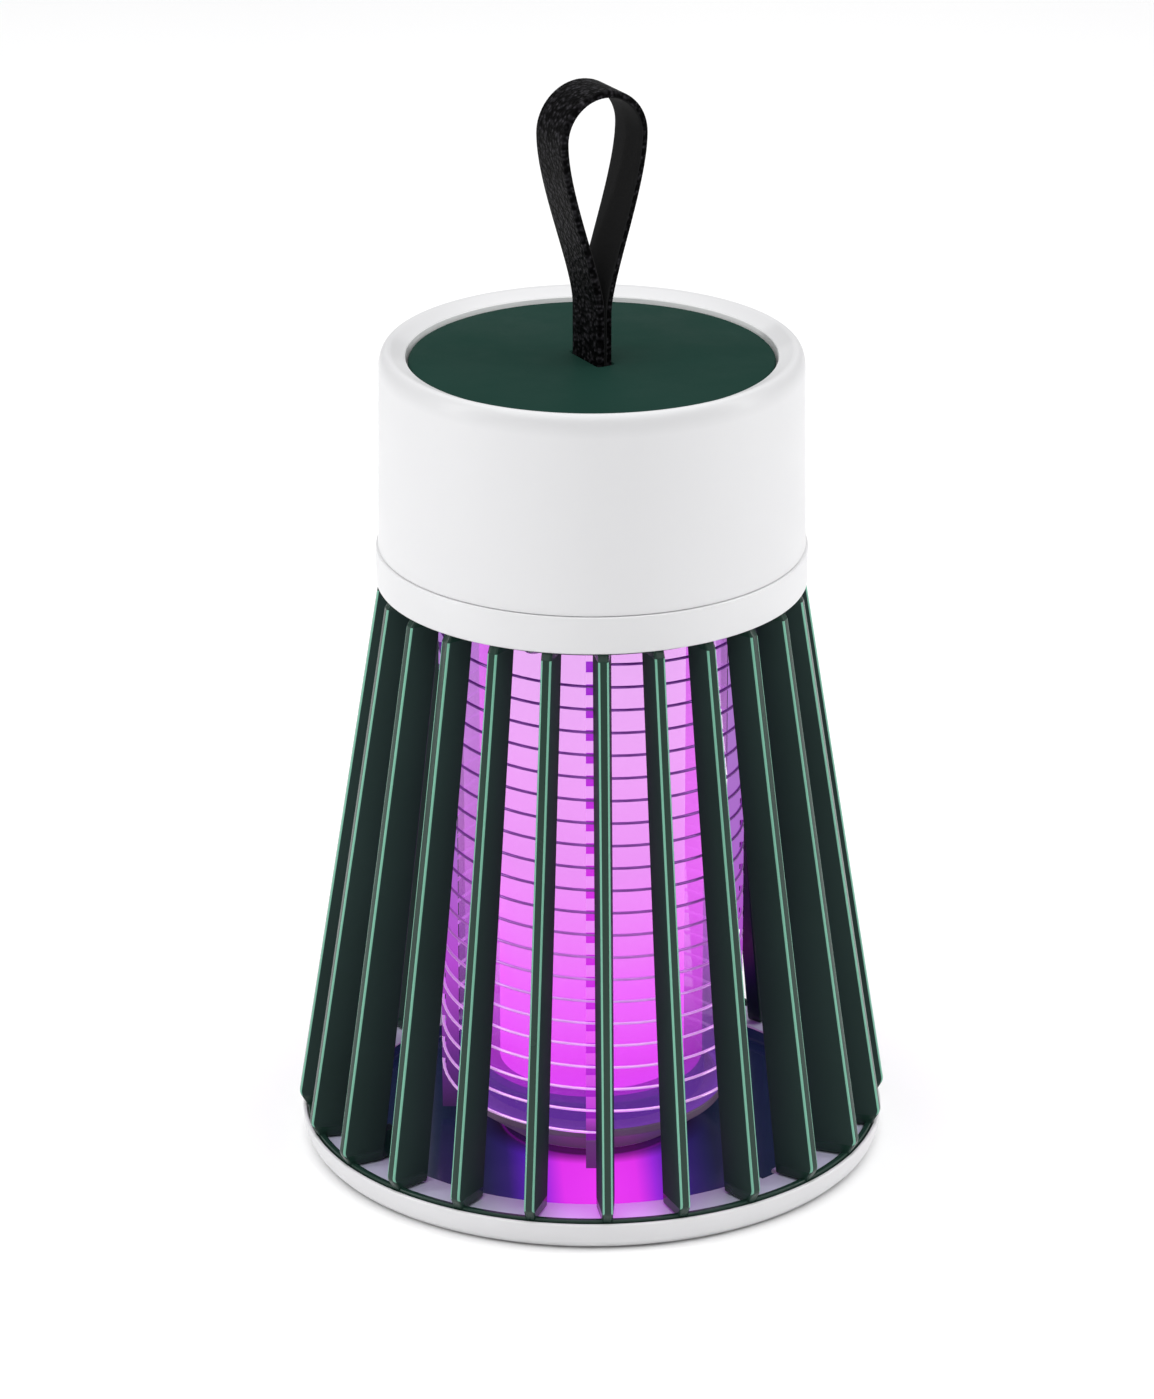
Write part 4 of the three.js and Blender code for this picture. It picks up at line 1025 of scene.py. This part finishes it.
def strap_section():
    """Points round the band, as thickness and width, with its two flat sides split evenly."""
    x, y = STRAP_THICKNESS / 2, STRAP_WIDTH / 2
    outline = rounded([
        (-x, -y, STRAP_EDGE), (x, -y, STRAP_EDGE), (x, y, STRAP_EDGE), (-x, y, STRAP_EDGE),
    ], 4)
    corner = len(outline) // 4
    section = []
    for i, (x, y) in enumerate(outline):
        section.append((x, y))
        if i % (2 * corner) == 2 * corner - 1:
            on = outline[(i + 1) % len(outline)]
            section += [(x, y + (on[1] - y) * k / SPLITS) for k in range(1, SPLITS)]
    return section


def carry_strap():
    """Leather loop with rounded edges, pebbled outside and smooth inside."""
    path, section = strap_path(), strap_section()
    count = len(section)
    rings, travel = [], [0.0]
    for i, here in enumerate(path):
        if i:
            travel.append(travel[-1] + (here - path[i - 1]).length)
        ahead = (path[min(i + 1, len(path) - 1)] - path[max(i - 1, 0)]).normalized()
        side = Vector((ahead.y, -ahead.x))
        rings.append([
            STRAP_YAW @ Vector((here.x + side.x * x, y, here.y + side.y * x)) for x, y in section
        ])
    strap = loft(rings)
    # The grain runs along the band by its length and round it by thickness plus width.
    grain = strap.data.uv_layers.new(name="along")
    for face in strap.data.polygons:
        for loop, corner in zip(face.loop_indices, face.vertices):
            grain.data[loop].uv = (travel[corner // count] * MM, sum(section[corner % count]) * MM)

    def is_smooth(face, centre, radius):
        depths = [section[corner % count][0] for corner in face.vertices]
        return sum(depths) / len(depths) > STRAP_THICKNESS / 2 - STRAP_EDGE * 0.75

    nodes, finishes = ["strap_loop", "strap_tail"], (GRAIN_AND_GLINTS, BACKING)
    hand_in(strap, "carry_strap", None, nodes, "strap_leather", *finishes, angle=50)
    paint(strap, is_smooth)
    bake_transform(strap)


# ---------------------------------------------------------------- controls


def capsule(half, bottom, top):
    """Outline of a USB-C mouth."""
    radius = (top - bottom) / 2 * 0.98
    corners = ((-half, bottom), (half, bottom), (half, top), (-half, top))
    return rounded([(x, z, radius) for x, z in corners], 8)


def power_button():
    cap = lathe(rounded([
        (0, 41.7), (6.4, 41.7, 0.2), (6.4, 42.7, 0.2), (5, 42.7, 0.2), (5, 46.5, 0.7), (3.4, 46.6, 0.5),
        (2.6, 46.0, 1.0), (0, 45.9),
    ], 6, closed=False), 96)
    along_y(cap, BUTTON_Z)
    hand_in(cap, "power_button_cap", "button", ["power_button"], "white_plastic", WHITE)


def status_lens():
    lens = lathe(rounded([
        (0, 39.3), (1.4, 39.3, 0.2), (1.4, 45.7, 0.7), (0, 45.7),
    ], 6, closed=False), SMALL_SIDES)
    along_y(lens, LENS_Z)
    hand_in(lens, "lens_pipe", "lamp", ["status_lens"], "lens_plastic", LENS)


def usb_port():
    """Shell of a USB-C inlet with its tongue."""
    wall, gap = 0.35, 1.25
    shell = slab(capsule(4.5, USB_LOW, USB_HIGH), 37, 45.2, STANDING)
    bore = slab(capsule(4.5 - wall, USB_LOW + wall, USB_HIGH - wall), 38.4, 46, STANDING)
    tongue = slab(capsule(3.3, USB_LOW + gap, USB_HIGH - gap), 37.5, 44.3, STANDING)
    shell = add(cut(shell, bore), tongue)
    hand_in(shell, "usb_shell", "lamp", ["usb_port"], "screw_steel", STEEL)


# ---------------------------------------------------------------- screws and inner parts


def screw(name, node, place, point_up=True):
    """Pan-head screw with a cross recess; its threads are shown as fine rings."""
    low, high = foot_of(node), top_of(node)
    length = round(high - low, 3)
    profile = rounded([
        (0, 0.05), (1.8, 0.0, 0.5), (2.4, 0.7, 0.5), (2.4, 1.5, 0.1), (1.15, 1.5),
    ], 4, closed=False)
    z = 2.2
    while z < length - 1.4:
        profile += [(0.95, z), (1.2, z + 0.35), (0.95, z + 0.7)]
        z += 0.9
    profile += [(0.9, length - 0.9), (0, length)]
    body = lathe(profile, 40)
    arm, half = 1.5, 0.32
    cross = [block((-x, -y, -0.5), (x, y, 0.75)) for x, y in ((arm, half), (half, arm))]
    cut(body, add(*cross))
    if not point_up:
        moved(body, Matrix.Rotation(math.pi, 4, "X"))
    moved(body, Matrix.Translation((place.x, place.y, low if point_up else high)))
    hand_in(body, name, "lamp", [node], "screw_steel", STEEL)


def screws():
    for i, a in enumerate(HOUSING_SCREWS):
        screw(f"case_screw_{i + 1}", f"housing_screw_{i + 1}", around(HOUSING_RING, a))
    for i, a in enumerate(CAGE_SCREWS):
        screw(f"guard_screw_{i + 1}", f"cage_screw_{i + 1}", around(CAGE_RING, a))
    for i, a in enumerate(BOARD_SCREWS):
        screw(f"pcb_screw_{i + 1}", f"board_screw_{i + 1}", around(BOARD_RING, a), point_up=False)
    for i, side in enumerate((-1, 1)):
        place = around(CLAMP_OFFSET, STRAP_AZIMUTH + 90 * side)
        screw(f"strap_screw_{i + 1}", f"clamp_screw_{i + 1}", place)


KEPT_FINISHES = {
    "strap_clamp": STEEL, "led_board": BOARD, "control_board": BOARD, "button_board": BOARD,
    "battery_cell": CELL, "battery_cradle": BLACK, "battery_tab_": NICKEL, "hv_transformer": BLACK,
    "hv_capacitor_": CAN, "hv_lead_": LEAD, "tact_switch": BLACK, "status_led": PACKAGE,
    "uv_led_": PACKAGE,
}


def finish_cad_nodes():
    """Materials for the nodes that are shown as they come from the CAD."""
    for name, node in NODES.items():
        for start, finish in KEPT_FINISHES.items():
            if name.startswith(start):
                node.data.materials.clear()
                node.data.materials.append(finish)


# ---------------------------------------------------------------- studio

LENS_LENGTH, SENSOR_WIDTH, SIDE_SHIFT = 163.2, 36.0, -0.0107
CAMERA_AZIMUTH, CAMERA_ELEVATION, CAMERA_DISTANCE = math.radians(-3.0), math.radians(21.6), 1.38126
CAMERA_TARGET = Vector((0, 0, 0.10211))


def aim(piece, target):
    """Turns a light or camera to face a point."""
    piece.rotation_mode = "QUATERNION"
    piece.rotation_quaternion = (Vector(target) - piece.location).to_track_quat("-Z", "Y")


def camera():
    """Camera that sees the object as in the photo."""
    data = bpy.data.cameras.new("photo_camera")
    data.lens, data.sensor_width, data.sensor_fit = LENS_LENGTH, SENSOR_WIDTH, "AUTO"
    data.shift_x = SIDE_SHIFT
    data.clip_start, data.clip_end = 0.05, 50
    made = linked("photo_camera", data)
    level = math.cos(CAMERA_ELEVATION)
    made.location = CAMERA_TARGET + CAMERA_DISTANCE * Vector((
        math.sin(CAMERA_AZIMUTH) * level, -math.cos(CAMERA_AZIMUTH) * level, math.sin(CAMERA_ELEVATION),
    ))
    aim(made, CAMERA_TARGET)
    bpy.context.scene.camera = made


def area_light(name, place, size, power):
    """Soft white panel that faces the middle of the object."""
    data = bpy.data.lights.new(name, "AREA")
    data.shape, data.size, data.size_y = "RECTANGLE", *size
    data.energy = power
    made = linked(name, data)
    made.location = place
    aim(made, (0, 0, 0.1))


def studio():
    """White room, white floor and three soft lights."""
    scene = bpy.context.scene
    world = bpy.data.worlds.new("studio")
    scene.world = world
    world.use_nodes = True
    background = world.node_tree.nodes["Background"]
    background.inputs["Color"].default_value = (1.0, 1.0, 1.0, 1)
    background.inputs["Strength"].default_value = 0.42
    scene.view_settings.view_transform = "Standard"
    scene.view_settings.look = "None"
    shell = bmesh.new()
    bmesh.ops.create_grid(shell, x_segments=2, y_segments=2, size=8)
    mesh = bpy.data.meshes.new("studio_floor")
    shell.to_mesh(mesh)
    shell.free()
    floor = linked("studio_floor", mesh)
    floor.data.materials.append(FLOOR)
    area_light("overhead", (0.0, -0.1, 1.5), (2.4, 2.4), 34)
    area_light("left_strip", (-1.3, -0.25, 0.45), (0.10, 1.3), 6)
    area_light("right_strip", (1.3, -0.1, 0.45), (0.10, 1.3), 5)


def build():
    base_tray()
    rubber_feet()
    fin_cage()
    grid_wire("wire_live", "grid_wire_live", 0)
    grid_wire("wire_return", "grid_wire_return", 180)
    grid_posts()
    grid_foot()
    grid_ring()
    light_tube()
    tube_sleeve()
    tube_cap()
    collar()
    head_shell()
    lid_disc()
    carry_strap()
    power_button()
    status_lens()
    usb_port()
    screws()
    finish_cad_nodes()
    studio()
    camera()


build()
bpy.context.view_layer.update()
